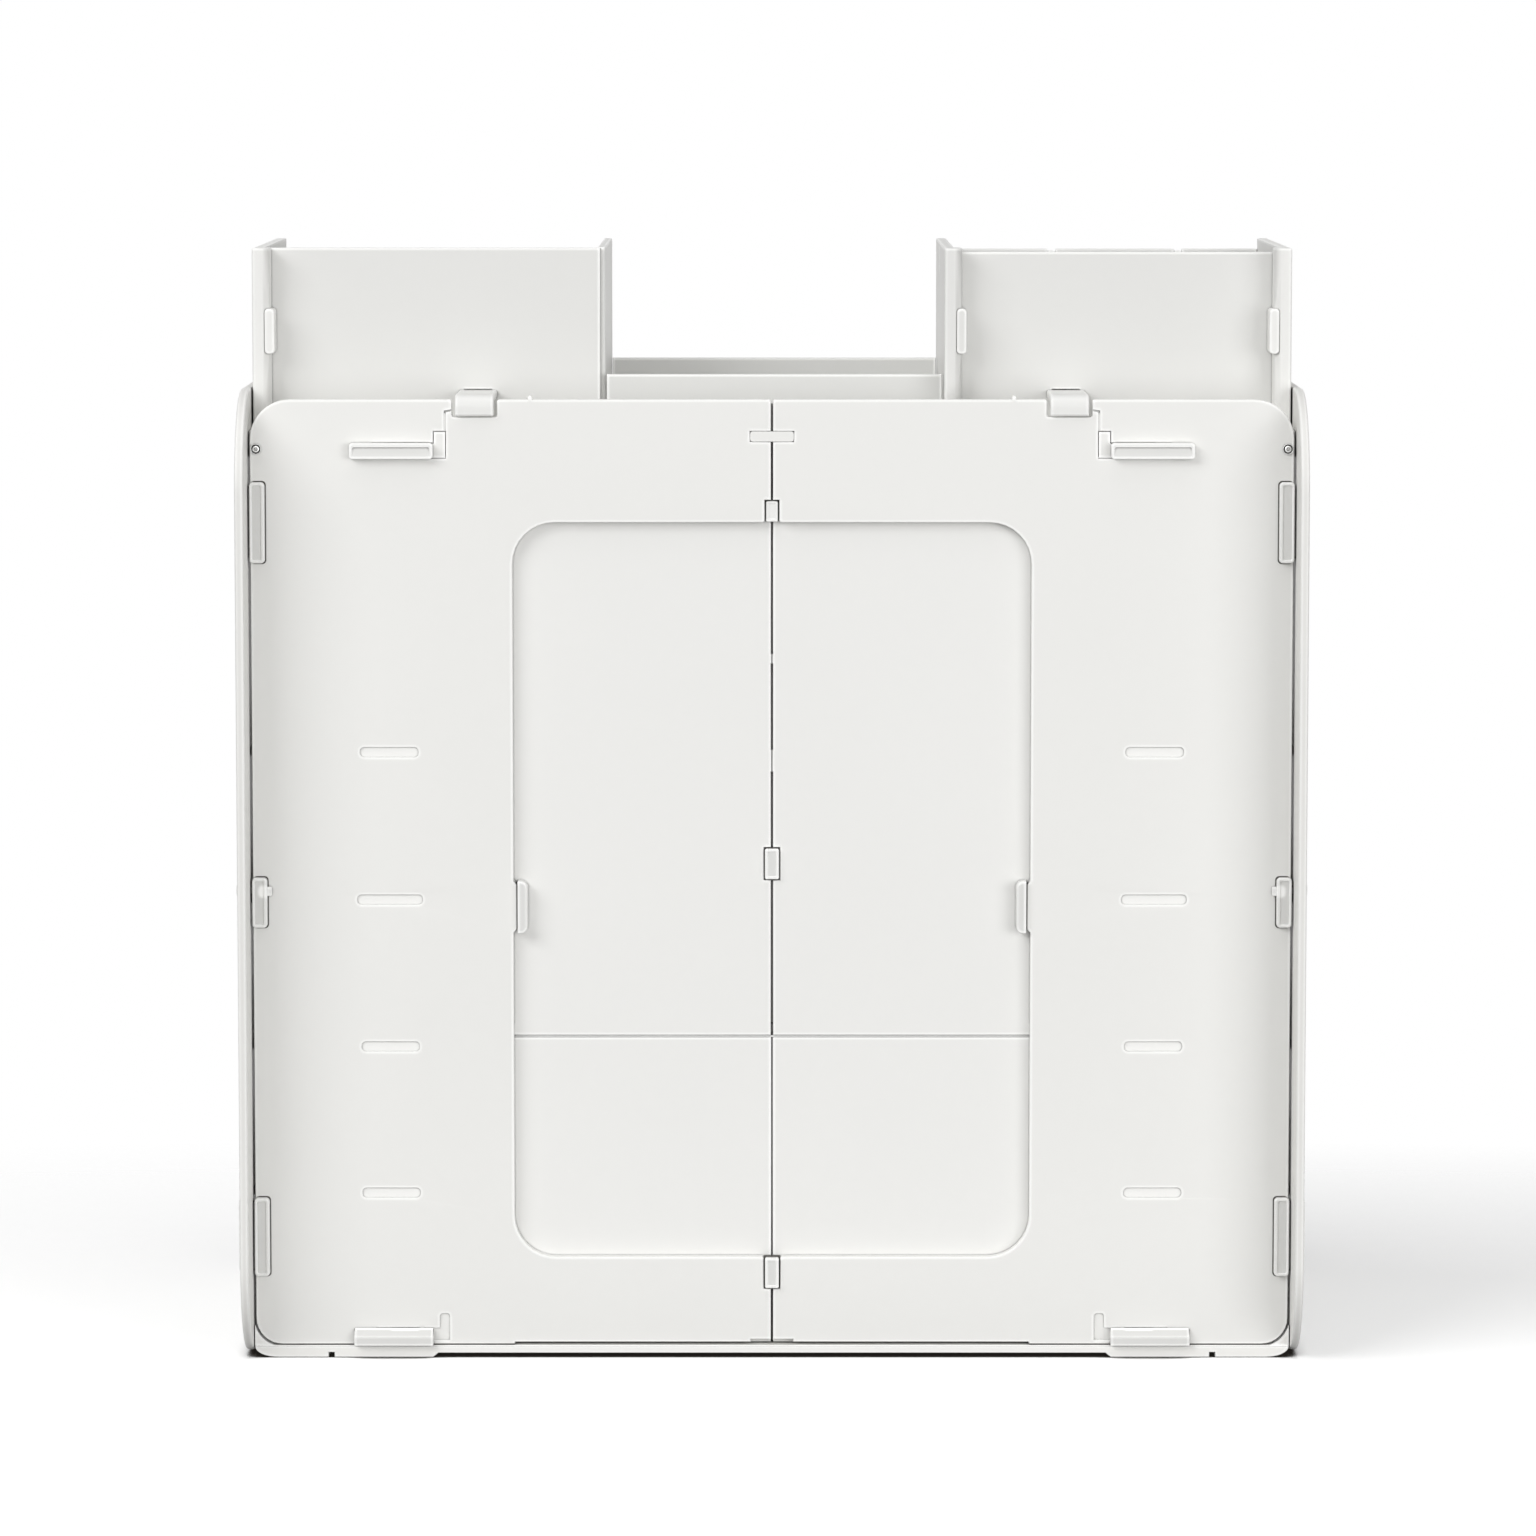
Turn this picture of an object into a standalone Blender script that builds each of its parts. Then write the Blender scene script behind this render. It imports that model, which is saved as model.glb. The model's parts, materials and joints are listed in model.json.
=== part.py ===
"""Desktop document organizer of moulded, off-white plastic boards.

The boards lock together with tabs, clips and sliding latches.  The back faces -Y, the open
front faces +Y, +X is to the right of someone who looks at the back, and the feet stand on
Z = 0.  Lengths are in metres, written as millimetres times MM.
"""

import math

import bmesh
import bpy
from mathutils import Matrix, Vector

MM = 0.001

# Carcass: two side panels with everything else between them
INNER_WIDTH = 450.0 * MM
SIDE_THICKNESS = 3.7 * MM
SIDE_DEPTH = 250.0 * MM
SIDE_REAR_CORNER = 43.0 * MM
SIDE_FRONT_CORNER = 25.0 * MM
SIDE_EDGE = 0.8 * MM
SIDE_RISE = 4.0 * MM
SIDE_DESK_GAP = 1.5 * MM
REAR_SETBACK = 29.0 * MM
FRONT_SETBACK = 5.0 * MM

# Fits and edges shared by all pieces
FIT = 0.3 * MM
SLIDE_FIT = 0.6 * MM
EDGE = 0.5 * MM

# Back panel, in two halves that meet at a seam
PANEL_TOP = 416.0 * MM
PANEL_THICKNESS = 5.0 * MM
PANEL_EDGE_GAP = 1.0 * MM
PANEL_TOP_CORNER = 17.0 * MM
PANEL_FOOT_CORNER = 11.5 * MM
PANEL_NUB_INSET = 15.5 * MM
PANEL_NUB_WIDTH = 1.8 * MM
PANEL_NUB_HEIGHT = 1.6 * MM
PANEL_NUB_CORNER = 0.8 * MM
SEAM_GAP = 0.9 * MM
SILL_RELIEF = 1.0 * MM
SILL_KEY_RELIEF = 2.2 * MM

# Window in the back panel
WINDOW_WIDTH = 223.2 * MM
WINDOW_HEAD = 52.7 * MM
WINDOW_SILL = 43.9 * MM
WINDOW_CORNER = 18.1 * MM

# Boards inside the carcass
BOARD = 4.0 * MM
INNER_BACK_LAP = 1.6 * MM
NIB_HEIGHTS = (304.1 * MM, 259.9 * MM)
NIB_LENGTHS = (4.2 * MM, 9.4 * MM)
TOP_BOARD_DROP = 13.8 * MM
KEY_WIDTH = 18.4 * MM
TOP_LIP_THICKNESS = 2.0 * MM
TOP_LIP_DROP = 1.8 * MM
TOP_LIP_INSET = 6.0 * MM
BOTTOM_THICKNESS = 3.3 * MM
BOTTOM_REAR_LIP = 1.5 * MM
BOTTOM_END_GAP = 0.5 * MM
BOTTOM_END_ROUND = 10.5 * MM

# Feet: two rails under the bottom board
FOOT_HEIGHT = 2.0 * MM
FOOT_INSET = 77.8 * MM
FOOT_RAMP = 2.3 * MM
FOOT_NOTCH_INSET = 33.7 * MM
FOOT_NOTCH_WIDTH = 2.6 * MM
FOOT_NOTCH_HEIGHT = 2.3 * MM

# Shelves of the two side columns, each with a tab in a mortise of the back panel
SHELF_COUNT = 4
SHELF_FIRST = 72.1 * MM
SHELF_PITCH = 64.0 * MM
SHELF_TAB_INSET = 60.1 * MM
SHELF_TAB_WIDTH = 25.2 * MM
SHELF_LONG_TAB_WIDTH = 28.3 * MM
SHELF_LONG_TAB_NUMBER = 3
SHELF_FRONT_CORNER = 6.0 * MM
SHELF_RECESS_HEIGHT = 4.4 * MM
SHELF_RECESS_CORNER = 1.8 * MM
SHELF_RECESS_DEPTH = 1.0 * MM
RECESS_FLARE = 0.3 * MM
MORTISE_DEPTH = 2.6 * MM

# Drawers below the middle shelf
DRAWER_TOP = 139.4 * MM
DRAWER_WALL = 3.0 * MM
DRAWER_CORNER = 4.0 * MM
DRAWER_HEADROOM = 1.6 * MM
DRAWER_BACK_GAP = 1.0 * MM
FINGER_NOTCH_RADIUS = 15.0 * MM

# Clips that tie the back panel to the side panels
CLIP_WIDTH = 6.3 * MM
CLIP_THICKNESS = 3.0 * MM
CLIP_SHOULDER = 2.0 * MM
CLIP_PROUD = 2.6 * MM
CLIP_CORNER = 1.6 * MM
CLIP_EDGE = 1.0 * MM
CLIP_LEG = 2.4 * MM
CLIP_TONGUE = 2.0 * MM
CLIP_TONGUE_DEPTH = 1.6 * MM
UPPER_CLIP_DROP = 52.7 * MM
UPPER_CLIP_LENGTH = 34.8 * MM
MIDDLE_CLIP_HEIGHT = 199.1 * MM
MIDDLE_CLIP_LENGTH = 21.7 * MM
LOWER_CLIP_HEIGHT = 53.1 * MM
LOWER_CLIP_LENGTH = 34.3 * MM
CLIP_PEG_RISE = 4.9 * MM
CLIP_PEG_LENGTH = 4.0 * MM
CLIP_NUB_WIDTH = 2.0 * MM

# Clips on the window edge and on the seam
WINDOW_CLIP_HEIGHT = 197.0 * MM
WINDOW_CLIP_LENGTH = 22.6 * MM
WINDOW_CLIP_WIDTH = 4.5 * MM
WINDOW_CLIP_PROUD = 7.2 * MM
WINDOW_TONGUE = 1.5 * MM
WINDOW_STEM_WIDTH = 2.4 * MM
WINDOW_STEM_LENGTH = 11.5 * MM
SEAM_CLIP_WIDTH = 6.4 * MM
SEAM_CLIP_LENGTH = 13.6 * MM
SEAM_CLIP_PROUD = 2.0 * MM
SEAM_CLIP_HEIGHT = 215.2 * MM
SEAM_NOTCH_WIDTH = 6.4 * MM
SEAM_NOTCH_HEIGHT = 9.7 * MM
SEAM_NOTCH_RECESS = 1.6 * MM

# Sliding latches at the top and bottom of each panel half
LATCH_INSET = 43.7 * MM
LATCH_TRAVEL = 6.0 * MM
LATCH_PLATE_REACH = 5.2 * MM
LATCH_PLATE_LENGTH = 13.0 * MM
LATCH_SHANK_LENGTH = 11.7 * MM
LATCH_SHANK_MARGIN = 0.4 * MM
LATCH_FLANGE_THICKNESS = 2.5 * MM
LATCH_FLANGE_MARGIN = 2.0 * MM
TOP_LATCH_LENGTH = 35.9 * MM
TOP_LATCH_HEIGHT = 6.9 * MM
TOP_LATCH_PROUD = 4.0 * MM
TOP_LATCH_EDGE = 1.3 * MM
TOP_LATCH_DROP = 4.05 * MM
TOP_TAB_WIDTH = 4.8 * MM
TOP_TAB_ROOT = 4.0 * MM
BOTTOM_LATCH_LENGTH = 34.4 * MM
BOTTOM_LATCH_HEIGHT = 7.5 * MM
BOTTOM_LATCH_PROUD = 4.6 * MM
BOTTOM_LATCH_SLOPE = 3.5 * MM
BOTTOM_SLOT_RISE = 1.8 * MM
BOTTOM_RECESS_WIDTH = 4.3 * MM
BOTTOM_RECESS_HEIGHT = 6.4 * MM
BOTTOM_RECESS_LENGTH = 11.0 * MM
BOTTOM_RECESS_CORNER = 1.2 * MM
BOTTOM_RECESS_DEPTH = 1.0 * MM
GROOVE_WIDTH = 0.8 * MM
GROOVE_DEPTH = 0.8 * MM
GROOVE_HEIGHT = 9.2 * MM

# Screws at the upper rear corners, with their blocks under the top board
SCREW_HEAD_RADIUS = 2.1 * MM
SCREW_HEAD_HEIGHT = 1.5 * MM
SCREW_DOME_SHARE = 0.6
SCREW_SHANK_RADIUS = 1.0 * MM
SCREW_LENGTH = 9.0 * MM
SCREW_DROP = 3.3 * MM
SCREW_INSET = 2.7 * MM
SIDE_SCREW_HEAD_HEIGHT = 2.2 * MM
SIDE_SCREW_SETBACK = 6.5 * MM
SIDE_SCREW_LENGTH = 7.2 * MM
BLOCK_WIDTH = 7.2 * MM
BLOCK_DEPTH = 10.0 * MM
BLOCK_HEIGHT = 7.0 * MM

# Caddies that hook over the back panel and lift off
CADDY_WIDTH = 149.9 * MM
CADDY_DEPTH = 155.0 * MM
CADDY_HEIGHT = 77.5 * MM
CADDY_SIDE_GAP = 0.6 * MM
CADDY_REAR_GAP = 20.0 * MM
CADDY_WALL = 4.5 * MM
CADDY_FLANGE = 3.0 * MM
CADDY_LAPPED_WALL = 3.5 * MM
CADDY_WALL_OFFSET = 2.2 * MM
CADDY_RECESS = 14.0 * MM
CADDY_BACK = 4.0 * MM
CADDY_BACK_DROP = 2.0 * MM
CADDY_LAPPED_DROP = 0.2 * MM
CADDY_FRONT_DROP = 4.7 * MM
CADDY_FLOOR = 3.0 * MM
CADDY_TAB_HEIGHT = 41.7 * MM
CADDY_TAB_LENGTH = 19.5 * MM
CADDY_TAB_WIDTH = 4.3 * MM
CADDY_TAB_INSET = 5.3 * MM
CADDY_TENON_LENGTH = 15.0 * MM
CADDY_TENON_PROUD = 1.0 * MM
CADDY_SLIT_WIDTH = 2.2 * MM
CADDY_SLIT_LENGTH = 10.6 * MM
CADDY_SLIT_SETBACK = 92.0 * MM
CADDY_SLIT_DROP = 2.6 * MM
DIVIDER_OFFSETS = (52.1 * MM, 109.3 * MM)
DIVIDER_THICKNESS = 3.0 * MM
DIVIDER_DROP = 10.0 * MM
DIVIDER_TAB = 6.0 * MM
DIVIDER_TAB_DROP = 0.8 * MM

# Hooks of the caddies, lying in notches of the back panel
HOOK_OFFSET = 44.8 * MM
HOOK_WIDTH = 16.6 * MM
HOOK_NOTCH_GAP = 1.4 * MM
HOOK_NOTCH_DEPTH = 7.4 * MM
HOOK_RISE = 2.2 * MM
HOOK_DROP = 7.0 * MM
HOOK_THICKNESS = 3.4 * MM
HOOK_PROUD = 2.5 * MM
HOOK_BEND = 5.5 * MM
HOOK_TENON_WIDTH = 11.0 * MM

# Tray between the caddies
TRAY_WALL = 4.0 * MM
TRAY_BACK_HEIGHT = 20.8 * MM
TRAY_FRONT_HEIGHT = 22.8 * MM
TRAY_BACK_SETBACK = 34.0 * MM
TRAY_LENGTH = 114.0 * MM
TRAY_END_GAP = 0.7 * MM
TRAY_TAB_INSET = 22.0 * MM
TRAY_TAB_WIDTH = 18.0 * MM
TRAY_CORNER = 2.0 * MM

# Round stretches are made of this many straight steps
EDGE_STEPS = 2
CORNER_STEPS = 8
SMALL_CORNER_STEPS = 3
SMALL_CORNER = 5.0 * MM
SCREW_STEPS = 16
NOTCH_STEPS = 32
SHARP_ANGLE = math.radians(30.0)

# Finishes: base colour, roughness and metallic value
PLASTIC = ((0.82, 0.82, 0.80, 1.0), 0.45, 0.0)
INNER_PLASTIC = ((0.84, 0.84, 0.82, 1.0), 0.48, 0.0)
CLIP_PLASTIC = ((0.80, 0.80, 0.78, 1.0), 0.40, 0.0)
STEEL = ((0.60, 0.60, 0.60, 1.0), 0.35, 1.0)

# Planes that several pieces share
INNER_HALF = INNER_WIDTH / 2
OUTER_HALF = INNER_HALF + SIDE_THICKNESS
BOARD_END = INNER_HALF - FIT
SIDE_REAR = -SIDE_DEPTH / 2
SIDE_FRONT = SIDE_DEPTH / 2
SIDE_TOP = PANEL_TOP + SIDE_RISE
PANEL_REAR = SIDE_REAR + REAR_SETBACK
PANEL_FRONT = PANEL_REAR + PANEL_THICKNESS
BEHIND_PANEL = PANEL_FRONT + FIT
INNER_BACK_FRONT = BEHIND_PANEL + BOARD
BOARD_FRONT = SIDE_FRONT - FRONT_SETBACK
BOTTOM_TOP = FOOT_HEIGHT + BOTTOM_THICKNESS
PANEL_BOTTOM = BOTTOM_TOP + FIT
PANEL_OUTER = INNER_HALF - PANEL_EDGE_GAP
TOP_BOARD_TOP = PANEL_TOP - TOP_BOARD_DROP
TOP_BOARD_BOTTOM = TOP_BOARD_TOP - BOARD
TAB_REAR = PANEL_REAR + FIT
MORTISE_BOTTOM = PANEL_FRONT - MORTISE_DEPTH
WINDOW_HALF = WINDOW_WIDTH / 2
WINDOW_TOP = PANEL_TOP - WINDOW_HEAD
WINDOW_CLIP_OUTER = WINDOW_HALF - WINDOW_TONGUE - FIT
SEAM_HALF = SEAM_GAP / 2
SEAM_CLIP_HALF = SEAM_CLIP_WIDTH / 2
KEY_HALF = KEY_WIDTH / 2
INNER_BACK_OUTER = WINDOW_HALF + INNER_BACK_LAP
PARTITION_INNER = INNER_BACK_OUTER + FIT
PARTITION_OUTER = PARTITION_INNER + BOARD
MID_SHELF_BOTTOM = DRAWER_TOP + DRAWER_HEADROOM
MID_SHELF_TOP = MID_SHELF_BOTTOM + BOARD
SHELF_TAB_MIDDLE = INNER_HALF - SHELF_TAB_INSET
CLIP_FRONT = PANEL_REAR - FIT
CLIP_REAR = CLIP_FRONT - CLIP_THICKNESS
CLIP_INNER = PANEL_OUTER - CLIP_WIDTH
CLIP_LEG_INNER = PANEL_OUTER - CLIP_LEG
CLIP_TONGUE_REAR = PANEL_REAR + CLIP_TONGUE_DEPTH
CLIP_TONGUE_FRONT = CLIP_TONGUE_REAR + CLIP_TONGUE
LATCH_OUTER = INNER_HALF - LATCH_INSET
LATCH_PLATE_END = LATCH_OUTER - TOP_LATCH_LENGTH - LATCH_PLATE_REACH
SHANK_INNER = LATCH_PLATE_END + LATCH_PLATE_LENGTH + FIT
SHANK_OUTER = SHANK_INNER + LATCH_SHANK_LENGTH
SLOT_INNER = LATCH_PLATE_END - FIT
SLOT_OUTER = SHANK_OUTER + LATCH_TRAVEL + FIT
TOP_LATCH_MIDDLE = TOP_BOARD_BOTTOM - TOP_LATCH_DROP
TOP_SHANK_BOTTOM = TOP_LATCH_MIDDLE - TOP_LATCH_HEIGHT / 2 + LATCH_SHANK_MARGIN
TOP_SHANK_TOP = TOP_LATCH_MIDDLE + TOP_LATCH_HEIGHT / 2 - LATCH_SHANK_MARGIN
BOTTOM_LATCH_BOTTOM = BOTTOM_TOP + FIT
BOTTOM_LATCH_TOP = BOTTOM_LATCH_BOTTOM + BOTTOM_LATCH_HEIGHT
BOTTOM_SHANK_BOTTOM = PANEL_BOTTOM + BOTTOM_SLOT_RISE + FIT
BOTTOM_SHANK_TOP = BOTTOM_LATCH_TOP - LATCH_SHANK_MARGIN - FIT
SCREW_X = PANEL_OUTER - SCREW_INSET
SCREW_Z = TOP_BOARD_BOTTOM - SCREW_DROP
SCREW_HOLE = SCREW_SHANK_RADIUS + FIT
SIDE_SCREW_Y = BEHIND_PANEL + SIDE_SCREW_SETBACK
CADDY_OUTER = INNER_HALF - CADDY_SIDE_GAP
CADDY_INNER = CADDY_OUTER - CADDY_WIDTH
CADDY_LAPPED_FACE = CADDY_INNER - CADDY_WALL_OFFSET
CADDY_ROOM_OUTER = CADDY_OUTER - CADDY_WALL - FIT
CADDY_REAR = PANEL_FRONT + CADDY_REAR_GAP
CADDY_FAR = CADDY_REAR + CADDY_DEPTH
CADDY_BOTTOM = TOP_BOARD_TOP + FIT
CADDY_TOP = CADDY_BOTTOM + CADDY_HEIGHT
CADDY_TAB_MIDDLE = CADDY_BOTTOM + CADDY_TAB_HEIGHT
CADDY_BACK_REAR = CADDY_REAR + CADDY_RECESS
CADDY_BACK_FRONT = CADDY_BACK_REAR + CADDY_BACK
CADDY_FRONT_REAR = CADDY_FAR - CADDY_BACK
DIVIDER_TOP = CADDY_TOP - DIVIDER_DROP
HOOK_INNER = CADDY_INNER + HOOK_OFFSET
HOOK_OUTER = HOOK_INNER + HOOK_WIDTH
HOOK_TOP = PANEL_TOP + HOOK_RISE
NOTCH_BOTTOM = PANEL_TOP - HOOK_NOTCH_DEPTH
TRAY_LEFT = TRAY_END_GAP - CADDY_LAPPED_FACE
TRAY_RIGHT = CADDY_INNER - TRAY_END_GAP
TRAY_TABS = (TRAY_LEFT + TRAY_TAB_INSET, TRAY_RIGHT - TRAY_TAB_INSET)
TRAY_BACK_REAR = PANEL_FRONT + TRAY_BACK_SETBACK
TRAY_FRONT_REAR = TRAY_BACK_REAR + TRAY_LENGTH
LEFT = -1
RIGHT = 1


def back_plane(side=RIGHT):
    """Outline lies in X and Z, heights run along Y; a left-hand piece is mirrored in X."""
    return lambda u, v, height: (side * u, height, v)


def side_plane(side=RIGHT):
    """Outline lies in Y and Z, heights run outwards along X."""
    return lambda u, v, height: (side * height, u, v)


def floor_plane(side=RIGHT):
    """Outline lies in X and Y, heights run up along Z."""
    return lambda u, v, height: (side * u, v, height)


def outline(corners):
    """Closed loop through (u, v, radius) corners, where a radius rounds the corner off."""
    loop = []
    count = len(corners)
    for number, (u, v, radius) in enumerate(corners):
        corner = Vector((u, v))
        if radius == 0.0:
            loop.append(corner)
            continue
        before = (Vector(corners[number - 1][:2]) - corner).normalized()
        after = (Vector(corners[(number + 1) % count][:2]) - corner).normalized()
        half = before.angle(after) / 2
        centre = corner + (before + after).normalized() * (radius / math.sin(half))
        first = corner + before * (radius / math.tan(half)) - centre
        last = corner + after * (radius / math.tan(half)) - centre
        start = math.atan2(first.y, first.x)
        turn = math.atan2(first.x * last.y - first.y * last.x, first.dot(last))
        steps = CORNER_STEPS if radius > SMALL_CORNER else SMALL_CORNER_STEPS
        for step in range(steps + 1):
            angle = start + turn * step / steps
            loop.append(centre + radius * Vector((math.cos(angle), math.sin(angle))))
    return loop


def rectangle(u0, v0, u1, v1, radius=0.0):
    """Rectangular loop between two opposite corners, all its corners alike."""
    return outline([(u0, v0, radius), (u1, v0, radius), (u1, v1, radius), (u0, v1, radius)])


def circle(u, v, radius, steps=SCREW_STEPS):
    """Round loop about a centre."""
    turns = [2 * math.pi * step / steps for step in range(steps)]
    return [Vector((u + radius * math.cos(turn), v + radius * math.sin(turn))) for turn in turns]


def hole(loop):
    """The same loop run the other way round, so that its material lies outside it."""
    return loop[::-1]


def inset(loop, distance):
    """Loop moved by a distance into the material, which lies to the left of its direction."""
    moved = []
    count = len(loop)
    for number, point in enumerate(loop):
        along = (point - loop[number - 1]).normalized()
        onward = (loop[(number + 1) % count] - point).normalized()
        normal = Vector((-along.y, along.x))
        next_normal = Vector((-onward.y, onward.x))
        moved.append(point + (normal + next_normal) * (distance / (1 + normal.dot(next_normal))))
    return moved


def edge_levels(height, edge, inward):
    """(inset, height) levels from the rim of a face at a height down its rounded edge."""
    if edge == 0.0:
        return [(0.0, height)]
    turns = [math.pi / 2 * step / EDGE_STEPS for step in range(EDGE_STEPS + 1)]
    return [(edge * (1 - math.sin(turn)), height + inward * edge * (1 - math.cos(turn))) for turn in turns]


def plate_levels(start, end, start_edge=0.0, end_edge=0.0):
    """(inset, height) levels of a plate from start to end, with rounded edges."""
    return edge_levels(start, start_edge, 1) + edge_levels(end, end_edge, -1)[::-1]


def solid(loops, levels, plane):
    """Object of loops carried through (inset, height) levels and capped at both ends."""
    mesh = bmesh.new()
    rings = []
    for distance, height in levels:
        moved = [inset(loop, distance) for loop in loops]
        rings.append([[mesh.verts.new(plane(p.x, p.y, height)) for p in loop] for loop in moved])
    for lower, upper in zip(rings, rings[1:]):
        for low, high in zip(lower, upper):
            for number in range(len(low)):
                ahead = (number + 1) % len(low)
                mesh.faces.new((low[number], low[ahead], high[ahead], high[number]))
    for ring in (rings[0], rings[-1]):
        rim = []
        for loop in ring:
            for number, vertex in enumerate(loop):
                rim.append(mesh.edges.get((vertex, loop[(number + 1) % len(loop)])))
        bmesh.ops.triangle_fill(mesh, edges=rim, use_beauty=True)
    bmesh.ops.recalc_face_normals(mesh, faces=mesh.faces)
    data = bpy.data.meshes.new("solid")
    mesh.to_mesh(data)
    mesh.free()
    piece = bpy.data.objects.new("solid", data)
    bpy.context.scene.collection.objects.link(piece)
    return piece


def box(x0, x1, y0, y1, z0, z1, side=RIGHT):
    """Plain block between two corners, mirrored in X for the left side."""
    return solid([rectangle(x0, y0, x1, y1)], plate_levels(z0, z1), floor_plane(side))


def combine(piece, tool, operation):
    """Piece after a Boolean with a tool, which is used up."""
    modifier = piece.modifiers.new(operation, "BOOLEAN")
    modifier.operation = operation
    modifier.solver = "EXACT"
    modifier.object = tool
    graph = bpy.context.evaluated_depsgraph_get()
    result = bpy.data.meshes.new_from_object(piece.evaluated_get(graph))
    piece.modifiers.clear()
    piece.data = result
    bpy.data.objects.remove(tool)
    return piece


def join(piece, tool):
    """Piece with a tool fused to it."""
    return combine(piece, tool, "UNION")


def cut(piece, tool):
    """Piece with a tool's shape taken out of it."""
    return combine(piece, tool, "DIFFERENCE")


def empty(name, parent, location):
    """Empty that carries a body; a moving body's empty stands on its joint's axis."""
    holder = bpy.data.objects.new(name, None)
    bpy.context.scene.collection.objects.link(holder)
    holder.parent = parent
    holder.location = Vector(location)
    return holder


def finish(piece, name, look, body):
    """Name a piece, give it its material and hang it on its body, with its origin at its middle."""
    colour, roughness, metallic = look
    material = bpy.data.materials.new(name + "_finish")
    material.use_nodes = True
    shader = material.node_tree.nodes["Principled BSDF"]
    shader.inputs["Base Color"].default_value = colour
    shader.inputs["Roughness"].default_value = roughness
    shader.inputs["Metallic"].default_value = metallic
    material.diffuse_color = colour
    piece.name = name
    piece.data.name = name
    piece.data.materials.clear()
    piece.data.materials.append(material)
    spans = [[vertex.co[axis] for vertex in piece.data.vertices] for axis in range(3)]
    middle = Vector([(min(span) + max(span)) / 2 for span in spans])
    piece.data.transform(Matrix.Translation(-middle))
    piece.data.shade_smooth()
    piece.data.set_sharp_from_angle(angle=SHARP_ANGLE)
    piece.parent = body
    piece.location = middle - body.location
    return piece


def side_name(side):
    """Word for a side of the organizer, as seen from behind it."""
    return "left" if side == LEFT else "right"


def clip_places():
    """(name, middle, length, tongue middle, tongue length, how far it stands out) of the side clips."""
    upper = PANEL_TOP - UPPER_CLIP_DROP
    shoulders = 2 * CLIP_SHOULDER
    peg = MIDDLE_CLIP_HEIGHT + CLIP_PEG_RISE
    return (
        ("upper", upper, UPPER_CLIP_LENGTH, upper, UPPER_CLIP_LENGTH - shoulders, -FIT),
        ("middle", MIDDLE_CLIP_HEIGHT, MIDDLE_CLIP_LENGTH, peg, CLIP_PEG_LENGTH, CLIP_PROUD),
        ("lower", LOWER_CLIP_HEIGHT, LOWER_CLIP_LENGTH, LOWER_CLIP_HEIGHT, LOWER_CLIP_LENGTH - shoulders,
         CLIP_PROUD),
    )


def shelf_places():
    """(number, middle height, tab width) of the shelves of one column."""
    for number in range(1, SHELF_COUNT + 1):
        width = SHELF_LONG_TAB_WIDTH if number == SHELF_LONG_TAB_NUMBER else SHELF_TAB_WIDTH
        yield number, SHELF_FIRST + (number - 1) * SHELF_PITCH, width


def side_panel(side):
    """Rounded side board with slots for the clip tongues and a hole for its screw."""
    rim = outline([
        (SIDE_REAR, SIDE_DESK_GAP, SIDE_REAR_CORNER),
        (SIDE_FRONT, SIDE_DESK_GAP, SIDE_FRONT_CORNER),
        (SIDE_FRONT, SIDE_TOP, SIDE_FRONT_CORNER),
        (SIDE_REAR, SIDE_TOP, SIDE_REAR_CORNER),
    ])
    loops = [rim, hole(circle(SIDE_SCREW_Y, SCREW_Z, SCREW_HOLE))]
    for _, _, _, middle, length, _ in clip_places():
        reach = length / 2 + FIT
        loops.append(hole(rectangle(CLIP_TONGUE_REAR - FIT, middle - reach, CLIP_TONGUE_FRONT + FIT,
                                    middle + reach)))
    return solid(loops, plate_levels(INNER_HALF, OUTER_HALF, SIDE_EDGE, SIDE_EDGE), side_plane(side))


def clip_notches():
    """Corners of the notches in the panel's outer edge that take the clips' legs, from below."""
    corners = []
    inner = CLIP_LEG_INNER - FIT
    for _, _, _, middle, length, _ in reversed(clip_places()):
        reach = length / 2 + FIT
        for edge, end in ((PANEL_OUTER, -1), (inner, -1), (inner, 1), (PANEL_OUTER, 1)):
            corners.append((edge, middle + end * reach, 0.0))
    return corners


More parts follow.
